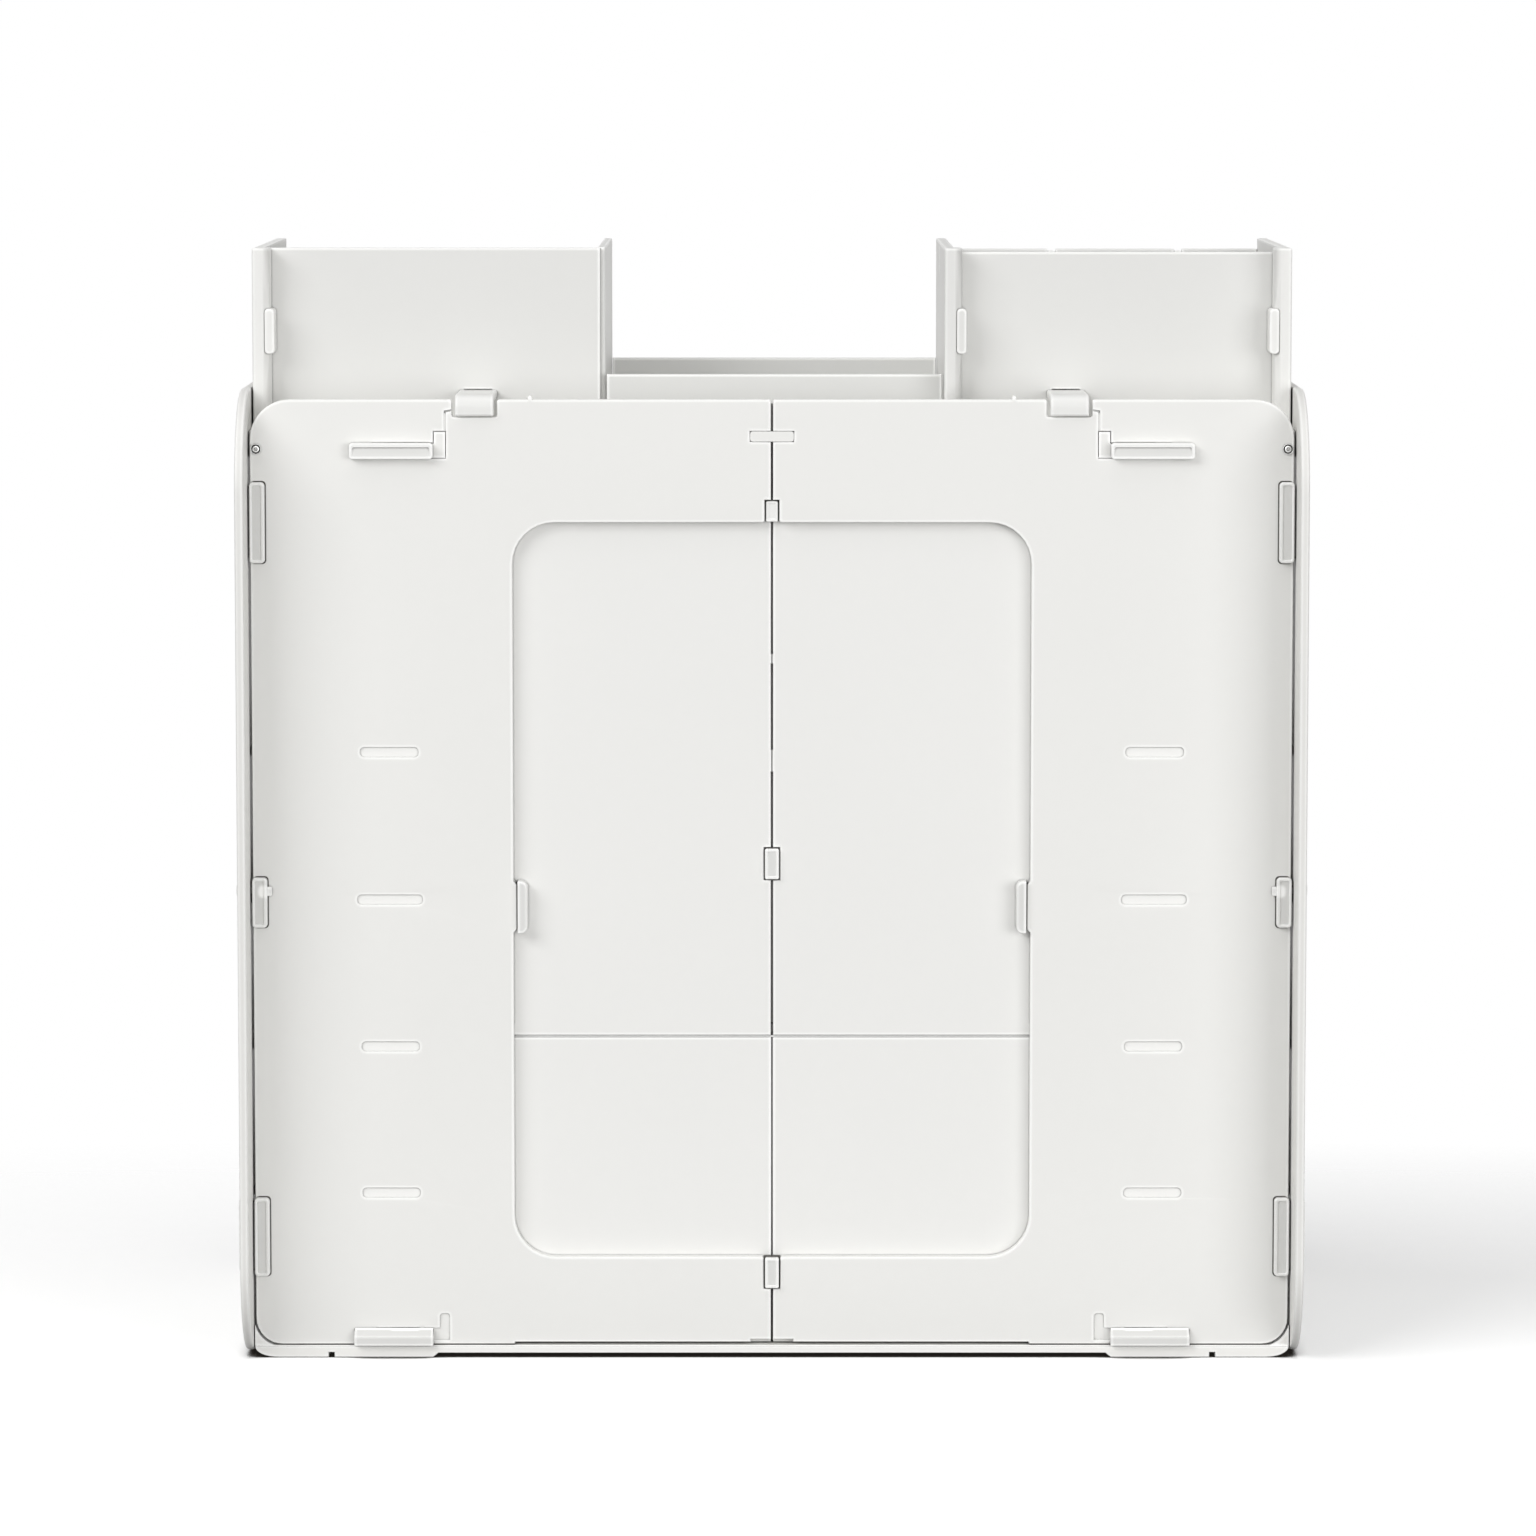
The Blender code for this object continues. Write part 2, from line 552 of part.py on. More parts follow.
def panel_rim():
    """Edge of the right-hand panel half: foot, outer edge, hook notch, seam and window."""
    notch = SEAM_NOTCH_WIDTH / 2
    plug = SEAM_CLIP_HALF + FIT
    plug_bottom = WINDOW_SILL - SEAM_CLIP_LENGTH - FIT
    key = KEY_HALF + FIT
    clip = WINDOW_CLIP_LENGTH / 2
    tongue = WINDOW_HALF - WINDOW_TONGUE
    small = 2 * EDGE
    nub_outer = HOOK_INNER - PANEL_NUB_INSET + PANEL_NUB_WIDTH / 2
    nub_inner = nub_outer - PANEL_NUB_WIDTH
    nub_top = PANEL_TOP + PANEL_NUB_HEIGHT
    return outline([
        (SEAM_HALF, PANEL_BOTTOM + SILL_KEY_RELIEF, 0.0),
        (KEY_HALF, PANEL_BOTTOM + SILL_KEY_RELIEF, 0.0),
        (KEY_HALF, PANEL_BOTTOM + SILL_RELIEF, 0.0),
        (WINDOW_HALF, PANEL_BOTTOM + SILL_RELIEF, 0.0),
        (WINDOW_HALF, PANEL_BOTTOM, 0.0),
        (PANEL_OUTER, PANEL_BOTTOM, PANEL_FOOT_CORNER),
        *clip_notches(),
        (PANEL_OUTER, PANEL_TOP, PANEL_TOP_CORNER),
        (HOOK_OUTER + HOOK_NOTCH_GAP, PANEL_TOP, small),
        (HOOK_OUTER + HOOK_NOTCH_GAP, NOTCH_BOTTOM, small),
        (HOOK_INNER - HOOK_NOTCH_GAP, NOTCH_BOTTOM, small),
        (HOOK_INNER - HOOK_NOTCH_GAP, PANEL_TOP, small),
        (nub_outer, PANEL_TOP, 0.0),
        (nub_outer, nub_top, PANEL_NUB_CORNER),
        (nub_inner, nub_top, PANEL_NUB_CORNER),
        (nub_inner, PANEL_TOP, 0.0),
        (SEAM_HALF, PANEL_TOP, small),
        (SEAM_HALF, TOP_BOARD_TOP + FIT, 0.0),
        (key, TOP_BOARD_TOP + FIT, 0.0),
        (key, TOP_BOARD_BOTTOM - FIT, 0.0),
        (SEAM_HALF, TOP_BOARD_BOTTOM - FIT, 0.0),
        (SEAM_HALF, WINDOW_TOP + SEAM_NOTCH_HEIGHT, 0.0),
        (notch, WINDOW_TOP + SEAM_NOTCH_HEIGHT, 0.0),
        (notch, WINDOW_TOP, small),
        (WINDOW_HALF, WINDOW_TOP, WINDOW_CORNER),
        (WINDOW_HALF, WINDOW_CLIP_HEIGHT + clip, 0.0),
        (tongue, WINDOW_CLIP_HEIGHT + clip - WINDOW_TONGUE, 0.0),
        (tongue, WINDOW_CLIP_HEIGHT - clip + WINDOW_TONGUE, 0.0),
        (WINDOW_HALF, WINDOW_CLIP_HEIGHT - clip, 0.0),
        (WINDOW_HALF, WINDOW_SILL, WINDOW_CORNER),
        (plug, WINDOW_SILL, small),
        (plug, plug_bottom, 0.0),
        (SEAM_HALF, plug_bottom, 0.0),
    ])


def top_latch_slot():
    """L-shaped slot, filled by a top board tab but for the foot's end, in which the latch slides."""
    low = TOP_SHANK_BOTTOM - FIT
    high = TOP_SHANK_TOP + FIT
    arm = LATCH_PLATE_END + TOP_TAB_WIDTH + FIT
    return outline([
        (SLOT_INNER, low, 0.0),
        (SLOT_OUTER, low, 0.0),
        (SLOT_OUTER, high, 0.0),
        (arm, high, 0.0),
        (arm, TOP_BOARD_TOP + FIT, 0.0),
        (SLOT_INNER, TOP_BOARD_TOP + FIT, 0.0),
    ])


def recess_levels(depth):
    """(inset, height) levels of a tool that sinks a recess into the rear face, flared at its rim."""
    return [
        (-RECESS_FLARE, PANEL_REAR - RECESS_FLARE),
        (-RECESS_FLARE, PANEL_REAR),
        (0.0, PANEL_REAR + RECESS_FLARE),
        (0.0, PANEL_REAR + depth),
    ]


def bottom_recess():
    """L-shaped recess whose foot runs on under the bottom latch."""
    low = BOTTOM_SHANK_BOTTOM - FIT
    high = BOTTOM_SHANK_TOP + FIT
    top = high + BOTTOM_RECESS_HEIGHT
    arm = SLOT_INNER + BOTTOM_RECESS_WIDTH
    end = SLOT_INNER + BOTTOM_RECESS_LENGTH
    return outline([
        (SLOT_INNER, low, 0.0),
        (end, low, 0.0),
        (end, high, 0.0),
        (arm, high, 0.0),
        (arm, top, BOTTOM_RECESS_CORNER),
        (SLOT_INNER, top, BOTTOM_RECESS_CORNER),
    ])


def top_groove():
    """Groove that runs from the top latch slot up and across to the hook notch."""
    top = TOP_BOARD_TOP + GROOVE_HEIGHT
    return outline([
        (SLOT_INNER, TOP_BOARD_TOP, 0.0),
        (SLOT_INNER + GROOVE_WIDTH, TOP_BOARD_TOP, 0.0),
        (SLOT_INNER + GROOVE_WIDTH, top, 0.0),
        (HOOK_OUTER, top + GROOVE_WIDTH, 0.0),
        (HOOK_OUTER, top, 0.0),
        (SLOT_INNER, top - GROOVE_WIDTH, 0.0),
    ])


def back_panel(side):
    """Half of the back panel, with its window, slots, notches, recesses and shelf mortises."""
    plane = back_plane(side)
    loops = [
        panel_rim(),
        hole(top_latch_slot()),
        hole(rectangle(SHANK_INNER - FIT, BOTTOM_SHANK_BOTTOM - FIT, SLOT_OUTER, BOTTOM_SHANK_TOP + FIT)),
        hole(circle(SCREW_X, SCREW_Z, SCREW_HOLE)),
    ]
    panel = solid(loops, plate_levels(PANEL_REAR, PANEL_FRONT, EDGE), plane)
    recesses = []
    mortises = []
    for _, height, width in shelf_places():
        reach = width / 2
        rise = SHELF_RECESS_HEIGHT / 2
        recesses.append(rectangle(SHELF_TAB_MIDDLE - reach, height - rise, SHELF_TAB_MIDDLE + reach,
                                  height + rise, SHELF_RECESS_CORNER))
        reach = width / 2 + FIT
        rise = BOARD / 2 + FIT
        mortises.append(rectangle(SHELF_TAB_MIDDLE - reach, height - rise, SHELF_TAB_MIDDLE + reach,
                                  height + rise))
    panel = cut(panel, solid(recesses, recess_levels(SHELF_RECESS_DEPTH), plane))
    panel = cut(panel, solid(mortises, plate_levels(MORTISE_BOTTOM, PANEL_FRONT + MORTISE_DEPTH), plane))
    panel = cut(panel, solid([bottom_recess()], recess_levels(BOTTOM_RECESS_DEPTH), plane))
    groove_levels = plate_levels(PANEL_REAR - GROOVE_DEPTH, PANEL_REAR + GROOVE_DEPTH)
    return cut(panel, solid([top_groove()], groove_levels, plane))


def window_stem(clearance):
    """Section of the stem that holds a window clip in the board behind it."""
    middle = WINDOW_CLIP_OUTER - WINDOW_CLIP_WIDTH / 2
    reach = WINDOW_STEM_WIDTH / 2 + clearance
    rise = WINDOW_STEM_LENGTH / 2 + clearance
    return rectangle(middle - reach, WINDOW_CLIP_HEIGHT - rise, middle + reach, WINDOW_CLIP_HEIGHT + rise)


def inner_back(side):
    """Board behind the window, with nibs on its seam and a hole for the window clip's stem."""
    top = TOP_BOARD_BOTTOM - FIT
    bottom = DRAWER_TOP + DRAWER_BACK_GAP
    plug = SEAM_CLIP_HALF + FIT
    plug_reach = SEAM_CLIP_LENGTH / 2 + FIT
    nib = FIT / 2
    corners = [
        (SEAM_HALF, bottom, 0.0),
        (INNER_BACK_OUTER, bottom, 0.0),
        (INNER_BACK_OUTER, top, 0.0),
        (SEAM_HALF, top, 0.0),
    ]
    for height, length in zip(NIB_HEIGHTS, NIB_LENGTHS):
        for edge, end in ((SEAM_HALF, 0.5), (nib, 0.5), (nib, -0.5), (SEAM_HALF, -0.5)):
            corners.append((edge, height + end * length, 0.0))
    for edge, end in ((SEAM_HALF, 1), (plug, 1), (plug, -1), (SEAM_HALF, -1)):
        corners.append((edge, SEAM_CLIP_HEIGHT + end * plug_reach, 0.0))
    loops = [outline(corners), hole(window_stem(FIT))]
    return solid(loops, plate_levels(BEHIND_PANEL, INNER_BACK_FRONT, EDGE), back_plane(side))


def window_clip(side):
    """Rounded clip beside the window edge, with a stem through the board behind it."""
    inner = WINDOW_CLIP_OUTER - WINDOW_CLIP_WIDTH
    rise = WINDOW_CLIP_LENGTH / 2
    head = outline([
        (inner, WINDOW_CLIP_HEIGHT - rise, CLIP_CORNER),
        (WINDOW_CLIP_OUTER, WINDOW_CLIP_HEIGHT - rise, 0.0),
        (WINDOW_CLIP_OUTER, WINDOW_CLIP_HEIGHT + rise, 0.0),
        (inner, WINDOW_CLIP_HEIGHT + rise, CLIP_CORNER),
    ])
    seat = BEHIND_PANEL - FIT
    clip = solid([head], plate_levels(seat - WINDOW_CLIP_PROUD, seat, CLIP_EDGE), back_plane(side))
    stem = solid([window_stem(0.0)], plate_levels(seat - EDGE, INNER_BACK_FRONT), back_plane(side))
    return join(clip, stem)


def seam_clip(middle, length, half, rear, front):
    """Convex plug that ties two boards together at the seam."""
    head = rectangle(-half, middle - length / 2, half, middle + length / 2)
    return solid([head], plate_levels(rear, front, CLIP_EDGE), back_plane())


def edge_clip(side, place):
    """Clip on the panel's outer edge: a head, a leg in the panel's notch and a tongue in the side panel."""
    name, middle, length, tongue, tongue_length, proud = place
    rise = length / 2
    reach = tongue_length / 2
    end = OUTER_HALF + proud
    root = CLIP_FRONT - EDGE
    clip = solid([rectangle(CLIP_INNER, middle - rise, PANEL_OUTER, middle + rise, CLIP_CORNER)],
                 plate_levels(CLIP_REAR, CLIP_FRONT, CLIP_EDGE), back_plane(side))
    leg = outline([
        (CLIP_LEG_INNER, root, 0.0),
        (PANEL_OUTER - EDGE, root, 0.0),
        (PANEL_OUTER - EDGE, CLIP_TONGUE_REAR, 0.0),
        (end, CLIP_TONGUE_REAR, 0.0),
        (end, CLIP_TONGUE_FRONT, 0.0),
        (CLIP_LEG_INNER, CLIP_TONGUE_FRONT, 0.0),
    ])
    clip = join(clip, solid([leg], plate_levels(tongue - reach, tongue + reach), floor_plane(side)))
    if name == "middle":
        nub = rectangle(CLIP_INNER - CLIP_NUB_WIDTH, tongue - reach, CLIP_INNER + CLIP_EDGE, tongue + reach)
        nub_levels = plate_levels(CLIP_REAR + CLIP_EDGE, CLIP_FRONT - FIT)
        clip = join(clip, solid([nub], nub_levels, back_plane(side)))
    return clip


def top_board():
    """Top board with its rear key, lip and hooked tabs, tray slots and blocks that take the screws."""
    rim = outline([
        (-BOARD_END, BEHIND_PANEL, 0.0),
        (-KEY_HALF, BEHIND_PANEL, 0.0),
        (-KEY_HALF, TAB_REAR, 0.0),
        (KEY_HALF, TAB_REAR, 0.0),
        (KEY_HALF, BEHIND_PANEL, 0.0),
        (BOARD_END, BEHIND_PANEL, 0.0),
        (BOARD_END, BOARD_FRONT, SHELF_FRONT_CORNER),
        (-BOARD_END, BOARD_FRONT, SHELF_FRONT_CORNER),
    ])
    loops = [rim]
    reach = TRAY_TAB_WIDTH / 2 + FIT
    for wall in (TRAY_BACK_REAR, TRAY_FRONT_REAR):
        for middle in TRAY_TABS:
            loops.append(hole(rectangle(middle - reach, wall - FIT, middle + reach, wall + TRAY_WALL + FIT)))
    board = solid(loops, plate_levels(TOP_BOARD_BOTTOM, TOP_BOARD_TOP), floor_plane())
    lip = CADDY_LAPPED_FACE - TOP_LIP_INSET
    board = join(board, box(-lip, lip, BEHIND_PANEL, BEHIND_PANEL + TOP_LIP_THICKNESS,
                            TOP_BOARD_TOP - EDGE, PANEL_TOP - TOP_LIP_DROP))
    hooked = outline([
        (LATCH_PLATE_END, TOP_SHANK_BOTTOM, 0.0),
        (LATCH_PLATE_END + LATCH_PLATE_LENGTH, TOP_SHANK_BOTTOM, 0.0),
        (LATCH_PLATE_END + LATCH_PLATE_LENGTH, TOP_SHANK_TOP, 0.0),
        (LATCH_PLATE_END + TOP_TAB_WIDTH, TOP_SHANK_TOP, 0.0),
        (LATCH_PLATE_END + TOP_TAB_WIDTH, TOP_BOARD_TOP, 0.0),
        (LATCH_PLATE_END, TOP_BOARD_TOP, 0.0),
    ])
    for side in (LEFT, RIGHT):
        tab = solid([hooked], plate_levels(TAB_REAR, BEHIND_PANEL + TOP_TAB_ROOT), back_plane(side))
        block = box(BOARD_END - BLOCK_WIDTH, BOARD_END, BEHIND_PANEL, BEHIND_PANEL + BLOCK_DEPTH,
                    TOP_BOARD_BOTTOM - BLOCK_HEIGHT, TOP_BOARD_TOP, side)
        board = join(join(board, tab), block)
        rear_levels = plate_levels(PANEL_FRONT, PANEL_REAR + SCREW_LENGTH)
        side_levels = plate_levels(OUTER_HALF - SIDE_SCREW_LENGTH, OUTER_HALF)
        board = cut(board, solid([circle(SCREW_X, SCREW_Z, SCREW_HOLE)], rear_levels, back_plane(side)))
        board = cut(board, solid([circle(SIDE_SCREW_Y, SCREW_Z, SCREW_HOLE)], side_levels, side_plane(side)))
    return board


def bottom_board():
    """Bottom board with two foot rails, rounded at its ends and lipped under the back panel."""
    end = INNER_HALF - BOTTOM_END_GAP
    foot = INNER_HALF - FOOT_INSET
    notch_start = INNER_HALF - FOOT_NOTCH_INSET - FOOT_NOTCH_WIDTH / 2
    notch_end = notch_start + FOOT_NOTCH_WIDTH
    half = [
        (foot - FOOT_RAMP, FOOT_HEIGHT),
        (foot, 0.0),
        (notch_start, 0.0),
        (notch_start, FOOT_NOTCH_HEIGHT),
        (notch_end, FOOT_NOTCH_HEIGHT),
        (notch_end, 0.0),
    ]
    for step in range(CORNER_STEPS + 1):
        turn = math.pi / 2 * step / CORNER_STEPS
        half.append((end - BOTTOM_END_ROUND * (1 - math.sin(turn)),
                     (BOTTOM_TOP - EDGE) * (1 - math.cos(turn))))
    half.append((end, BOTTOM_TOP))
    loop = [Vector(point) for point in half] + [Vector((-u, v)) for u, v in reversed(half)]
    return solid([loop], plate_levels(PANEL_REAR - BOTTOM_REAR_LIP, BOARD_FRONT), back_plane())


def partition(side):
    """Upright board between the window bays and a side column."""
    rim = rectangle(BEHIND_PANEL, BOTTOM_TOP + FIT, BOARD_FRONT, TOP_BOARD_BOTTOM - FIT)
    return solid([rim], plate_levels(PARTITION_INNER, PARTITION_OUTER), side_plane(side))


def centre_divider():
    """Upright board between the two window bays."""
    rim = rectangle(INNER_BACK_FRONT + FIT, MID_SHELF_TOP + FIT, BOARD_FRONT, TOP_BOARD_BOTTOM - FIT)
    return solid([rim], plate_levels(-BOARD / 2, BOARD / 2), side_plane())


def mid_shelf():
    """Board above the drawers."""
    end = PARTITION_INNER - FIT
    rim = rectangle(-end, INNER_BACK_FRONT + FIT, end, BOARD_FRONT)
    return solid([rim], plate_levels(MID_SHELF_BOTTOM, MID_SHELF_TOP), floor_plane())


def column_shelf(side, height, tab_width):
    """Shelf of a side column, with a tab in its mortise of the back panel."""
    inner = PARTITION_OUTER + FIT
    tab_inner = SHELF_TAB_MIDDLE - tab_width / 2
    tab_outer = SHELF_TAB_MIDDLE + tab_width / 2
    tab_end = MORTISE_BOTTOM + FIT
    rim = outline([
        (inner, BEHIND_PANEL, 0.0),
        (tab_inner, BEHIND_PANEL, 0.0),
        (tab_inner, tab_end, 0.0),
        (tab_outer, tab_end, 0.0),
        (tab_outer, BEHIND_PANEL, 0.0),
        (BOARD_END, BEHIND_PANEL, 0.0),
        (BOARD_END, BOARD_FRONT, SHELF_FRONT_CORNER),
        (inner, BOARD_FRONT, SHELF_FRONT_CORNER),
    ])
    return solid([rim], plate_levels(height - BOARD / 2, height + BOARD / 2), floor_plane(side))


def drawer(side):
    """Open-topped moulded bin with a finger notch in its front wall."""
    outer = PARTITION_INNER - SLIDE_FIT
    bottom = BOTTOM_TOP + FIT
    rim = outline([
        (SEAM_HALF, BEHIND_PANEL, 0.0),
        (outer, BEHIND_PANEL, 0.0),
        (outer, BOARD_FRONT, DRAWER_CORNER),
        (SEAM_HALF, BOARD_FRONT, DRAWER_CORNER),
    ])
    levels = edge_levels(bottom, EDGE, 1)
    levels += [(0.0, DRAWER_TOP), (DRAWER_WALL, DRAWER_TOP), (DRAWER_WALL, bottom + DRAWER_WALL)]
    body = solid([rim], levels, floor_plane(side))
    notch = circle((SEAM_HALF + outer) / 2, DRAWER_TOP, FINGER_NOTCH_RADIUS, NOTCH_STEPS)
    notch_levels = plate_levels(BOARD_FRONT - 2 * DRAWER_WALL, BOARD_FRONT + DRAWER_WALL)
    return cut(body, solid([notch], notch_levels, back_plane(side)))


def latch(side, bar, low, high):
    """Grip bar on the panel's rear face, with a shank in its slot and a flange inside."""
    shank = solid([rectangle(SHANK_INNER, low, SHANK_OUTER, high)],
                  plate_levels(PANEL_REAR - FIT - EDGE, BEHIND_PANEL + EDGE), back_plane(side))
    flange = solid([rectangle(SHANK_INNER, low - LATCH_FLANGE_MARGIN / 2, SHANK_OUTER + LATCH_FLANGE_MARGIN,
                              high)],
                   plate_levels(BEHIND_PANEL, BEHIND_PANEL + LATCH_FLANGE_THICKNESS), back_plane(side))
    return join(join(shank, bar), flange)


def top_latch(side):
    """Top latch, whose bar is a block with rounded edges."""
    inner = LATCH_OUTER - TOP_LATCH_LENGTH
    seat = PANEL_REAR - FIT
    rise = TOP_LATCH_HEIGHT / 2
    rim = rectangle(inner, TOP_LATCH_MIDDLE - rise, LATCH_OUTER, TOP_LATCH_MIDDLE + rise)
    bar = solid([rim], plate_levels(seat - TOP_LATCH_PROUD, seat, TOP_LATCH_EDGE), back_plane(side))
    return latch(side, bar, TOP_SHANK_BOTTOM, TOP_SHANK_TOP)


def bottom_latch(side):
    """Bottom latch, whose bar slopes down and out from the panel."""
    inner = LATCH_OUTER - BOTTOM_LATCH_LENGTH
    seat = PANEL_REAR - FIT
    rear = seat - BOTTOM_LATCH_PROUD
    profile = outline([
        (rear, BOTTOM_LATCH_BOTTOM, 0.0),
        (seat, BOTTOM_LATCH_BOTTOM, 0.0),
        (seat, BOTTOM_LATCH_TOP, 0.0),
        (rear, BOTTOM_LATCH_TOP - BOTTOM_LATCH_SLOPE, 2 * EDGE),
    ])
    bar = solid([profile], plate_levels(inner, LATCH_OUTER, EDGE, EDGE), side_plane(side))
    return latch(side, bar, BOTTOM_SHANK_BOTTOM, BOTTOM_SHANK_TOP)


def screw(head, length, plane, middle, seat, inward):
    """Dome-headed screw: its levels run from the top of the dome to the end of the shank."""
    under = seat - inward * FIT
    rim = 1 - SCREW_DOME_SHARE
    levels = []
    for step in range(EDGE_STEPS + 1):
        turn = math.pi / 2 * step / EDGE_STEPS
        radius = SCREW_HEAD_RADIUS * (rim + SCREW_DOME_SHARE * math.sin(turn))
        rise = head * (rim + SCREW_DOME_SHARE * math.cos(turn))
        levels.append((SCREW_HEAD_RADIUS - radius, under - inward * rise))
    neck = SCREW_HEAD_RADIUS - SCREW_SHANK_RADIUS
    levels += [(0.0, under), (neck, under), (neck, seat + inward * (length - FIT))]
    return solid([circle(middle[0], middle[1], SCREW_HEAD_RADIUS)], levels, plane)


def rear_screw(side):
    """Screw through a panel half into a corner block of the top board."""
    return screw(SCREW_HEAD_HEIGHT, SCREW_LENGTH, back_plane(side), (SCREW_X, SCREW_Z), PANEL_REAR, 1)


def side_screw(side):
    """Screw through a side panel into a corner block of the top board."""
    return screw(SIDE_SCREW_HEAD_HEIGHT, SIDE_SCREW_LENGTH, side_plane(side), (SIDE_SCREW_Y, SCREW_Z),
                 OUTER_HALF, -1)


def room_inner(side):
    """Where a caddy's room starts, beside the wall next to the tray."""
    if side == LEFT:
        return CADDY_LAPPED_FACE + CADDY_LAPPED_WALL + FIT
    return CADDY_INNER + CADDY_WALL + FIT


def caddy_wall(face, inward, side):
    """Caddy wall with a chamfered rear flange and a tab that hold the back wall.

    The wall's outer face is at |x| = face and the caddy's inside lies in direction inward.
    """
    flat = face + inward * CADDY_WALL
    flange = flat + inward * CADDY_FLANGE
    stop = CADDY_BACK_REAR - SLIDE_FIT
    corners = [
        (face, CADDY_REAR, 2 * EDGE),
        (flat, CADDY_REAR, 0.0),
        (flange, CADDY_REAR + CADDY_FLANGE, 0.0),
        (flange, stop, 0.0),
        (flat, stop, 0.0),
        (flat, CADDY_FAR, 2 * EDGE),
        (face, CADDY_FAR, 2 * EDGE),
    ]
    rim = outline(corners if inward > 0 else corners[::-1])
    wall = solid([rim], plate_levels(CADDY_BOTTOM, CADDY_TOP, 0.0, EDGE), floor_plane(side))
    rise = CADDY_TAB_LENGTH / 2
    start = face + inward * CADDY_TAB_INSET
    ends = sorted((start, start + inward * CADDY_TAB_WIDTH))
    tab = solid([rectangle(ends[0], CADDY_TAB_MIDDLE - rise, ends[1], CADDY_TAB_MIDDLE + rise, CLIP_CORNER)],
                plate_levels(CADDY_REAR, CADDY_BACK_REAR - FIT, EDGE), back_plane(side))
    return join(wall, tab)


def caddy_tenon(clearance):
    """(z0, z1) of the tenon that fixes a caddy's back wall in its outer wall."""
    rise = CADDY_TENON_LENGTH / 2 + clearance
    return CADDY_TAB_MIDDLE - rise, CADDY_TAB_MIDDLE + rise


def caddy_outer_wall(side):
    """Outer wall of a caddy, slotted for the back wall's tenon."""
    low, high = caddy_tenon(FIT)
    slot = box(CADDY_OUTER - 2 * CADDY_WALL, CADDY_OUTER + CADDY_WALL, CADDY_BACK_REAR - FIT,
               CADDY_BACK_FRONT + FIT, low, high, side)
    return cut(caddy_wall(CADDY_OUTER, -1, side), slot)


def caddy_inner_wall(side):
    """Wall of a caddy beside the tray; on the left it ends at the back wall, which laps it."""
    if side == LEFT:
        rim = rectangle(CADDY_LAPPED_FACE, CADDY_BACK_FRONT + FIT, CADDY_LAPPED_FACE + CADDY_LAPPED_WALL,
                        CADDY_FAR, 2 * EDGE)
        return solid([rim], plate_levels(CADDY_BOTTOM, CADDY_TOP, 0.0, EDGE), floor_plane(side))
    middle = CADDY_REAR + CADDY_SLIT_SETBACK
    top = CADDY_TOP - CADDY_SLIT_DROP
    slit = box(CADDY_INNER - CADDY_WALL, CADDY_INNER + 2 * CADDY_WALL, middle - CADDY_SLIT_WIDTH / 2,
               middle + CADDY_SLIT_WIDTH / 2, top - CADDY_SLIT_LENGTH, top, side)
    return cut(caddy_wall(CADDY_INNER, 1, side), slit)


def hook_tenon(clearance):
    """(x0, z0, x1, z1) of the hook's tenon in the caddy's back wall."""
    middle = (HOOK_INNER + HOOK_OUTER) / 2
    reach = HOOK_TENON_WIDTH / 2 + clearance
    return middle - reach, HOOK_TOP - HOOK_THICKNESS - clearance, middle + reach, HOOK_TOP + clearance


def caddy_back(side):
    """Back wall of a caddy, with a tenon through the outer wall and a hole for the hook."""
    inner = CADDY_INNER if side == LEFT else room_inner(side)
    low, high = caddy_tenon(0.0)
    top = CADDY_TOP - (CADDY_LAPPED_DROP if side == LEFT else CADDY_BACK_DROP)
    rim = outline([
        (inner, CADDY_BOTTOM, 0.0),
        (CADDY_ROOM_OUTER, CADDY_BOTTOM, 0.0),
        (CADDY_ROOM_OUTER, low, 0.0),
        (CADDY_OUTER + CADDY_TENON_PROUD, low, 0.0),
        (CADDY_OUTER + CADDY_TENON_PROUD, high, 0.0),
        (CADDY_ROOM_OUTER, high, 0.0),
        (CADDY_ROOM_OUTER, top, 0.0),
        (inner, top, 0.0),
    ])
    loops = [rim, hole(rectangle(*hook_tenon(FIT)))]
    return solid(loops, plate_levels(CADDY_BACK_REAR, CADDY_BACK_FRONT, EDGE), back_plane(side))


def caddy_hook(side):
    """Strap from the caddy's back wall over the panel and down into its notch."""
    rear = PANEL_REAR - HOOK_PROUD
    root = CADDY_BACK_REAR - FIT
    under = HOOK_TOP - HOOK_THICKNESS
    tip = PANEL_TOP - HOOK_DROP
    profile = outline([
        (root, under, 0.0),
        (root, HOOK_TOP, 0.0),
        (rear, HOOK_TOP, HOOK_BEND),
        (rear, tip, 0.0),
        (rear + HOOK_THICKNESS, tip, 0.0),
        (rear + HOOK_THICKNESS, under, HOOK_BEND - HOOK_THICKNESS),
    ])
    strap = solid([profile], plate_levels(HOOK_INNER, HOOK_OUTER, EDGE, EDGE), side_plane(side))
    tenon_levels = plate_levels(root - EDGE, CADDY_BACK_FRONT)
    tenon = solid([rectangle(*hook_tenon(0.0))], tenon_levels, back_plane(side))
    return join(strap, tenon)


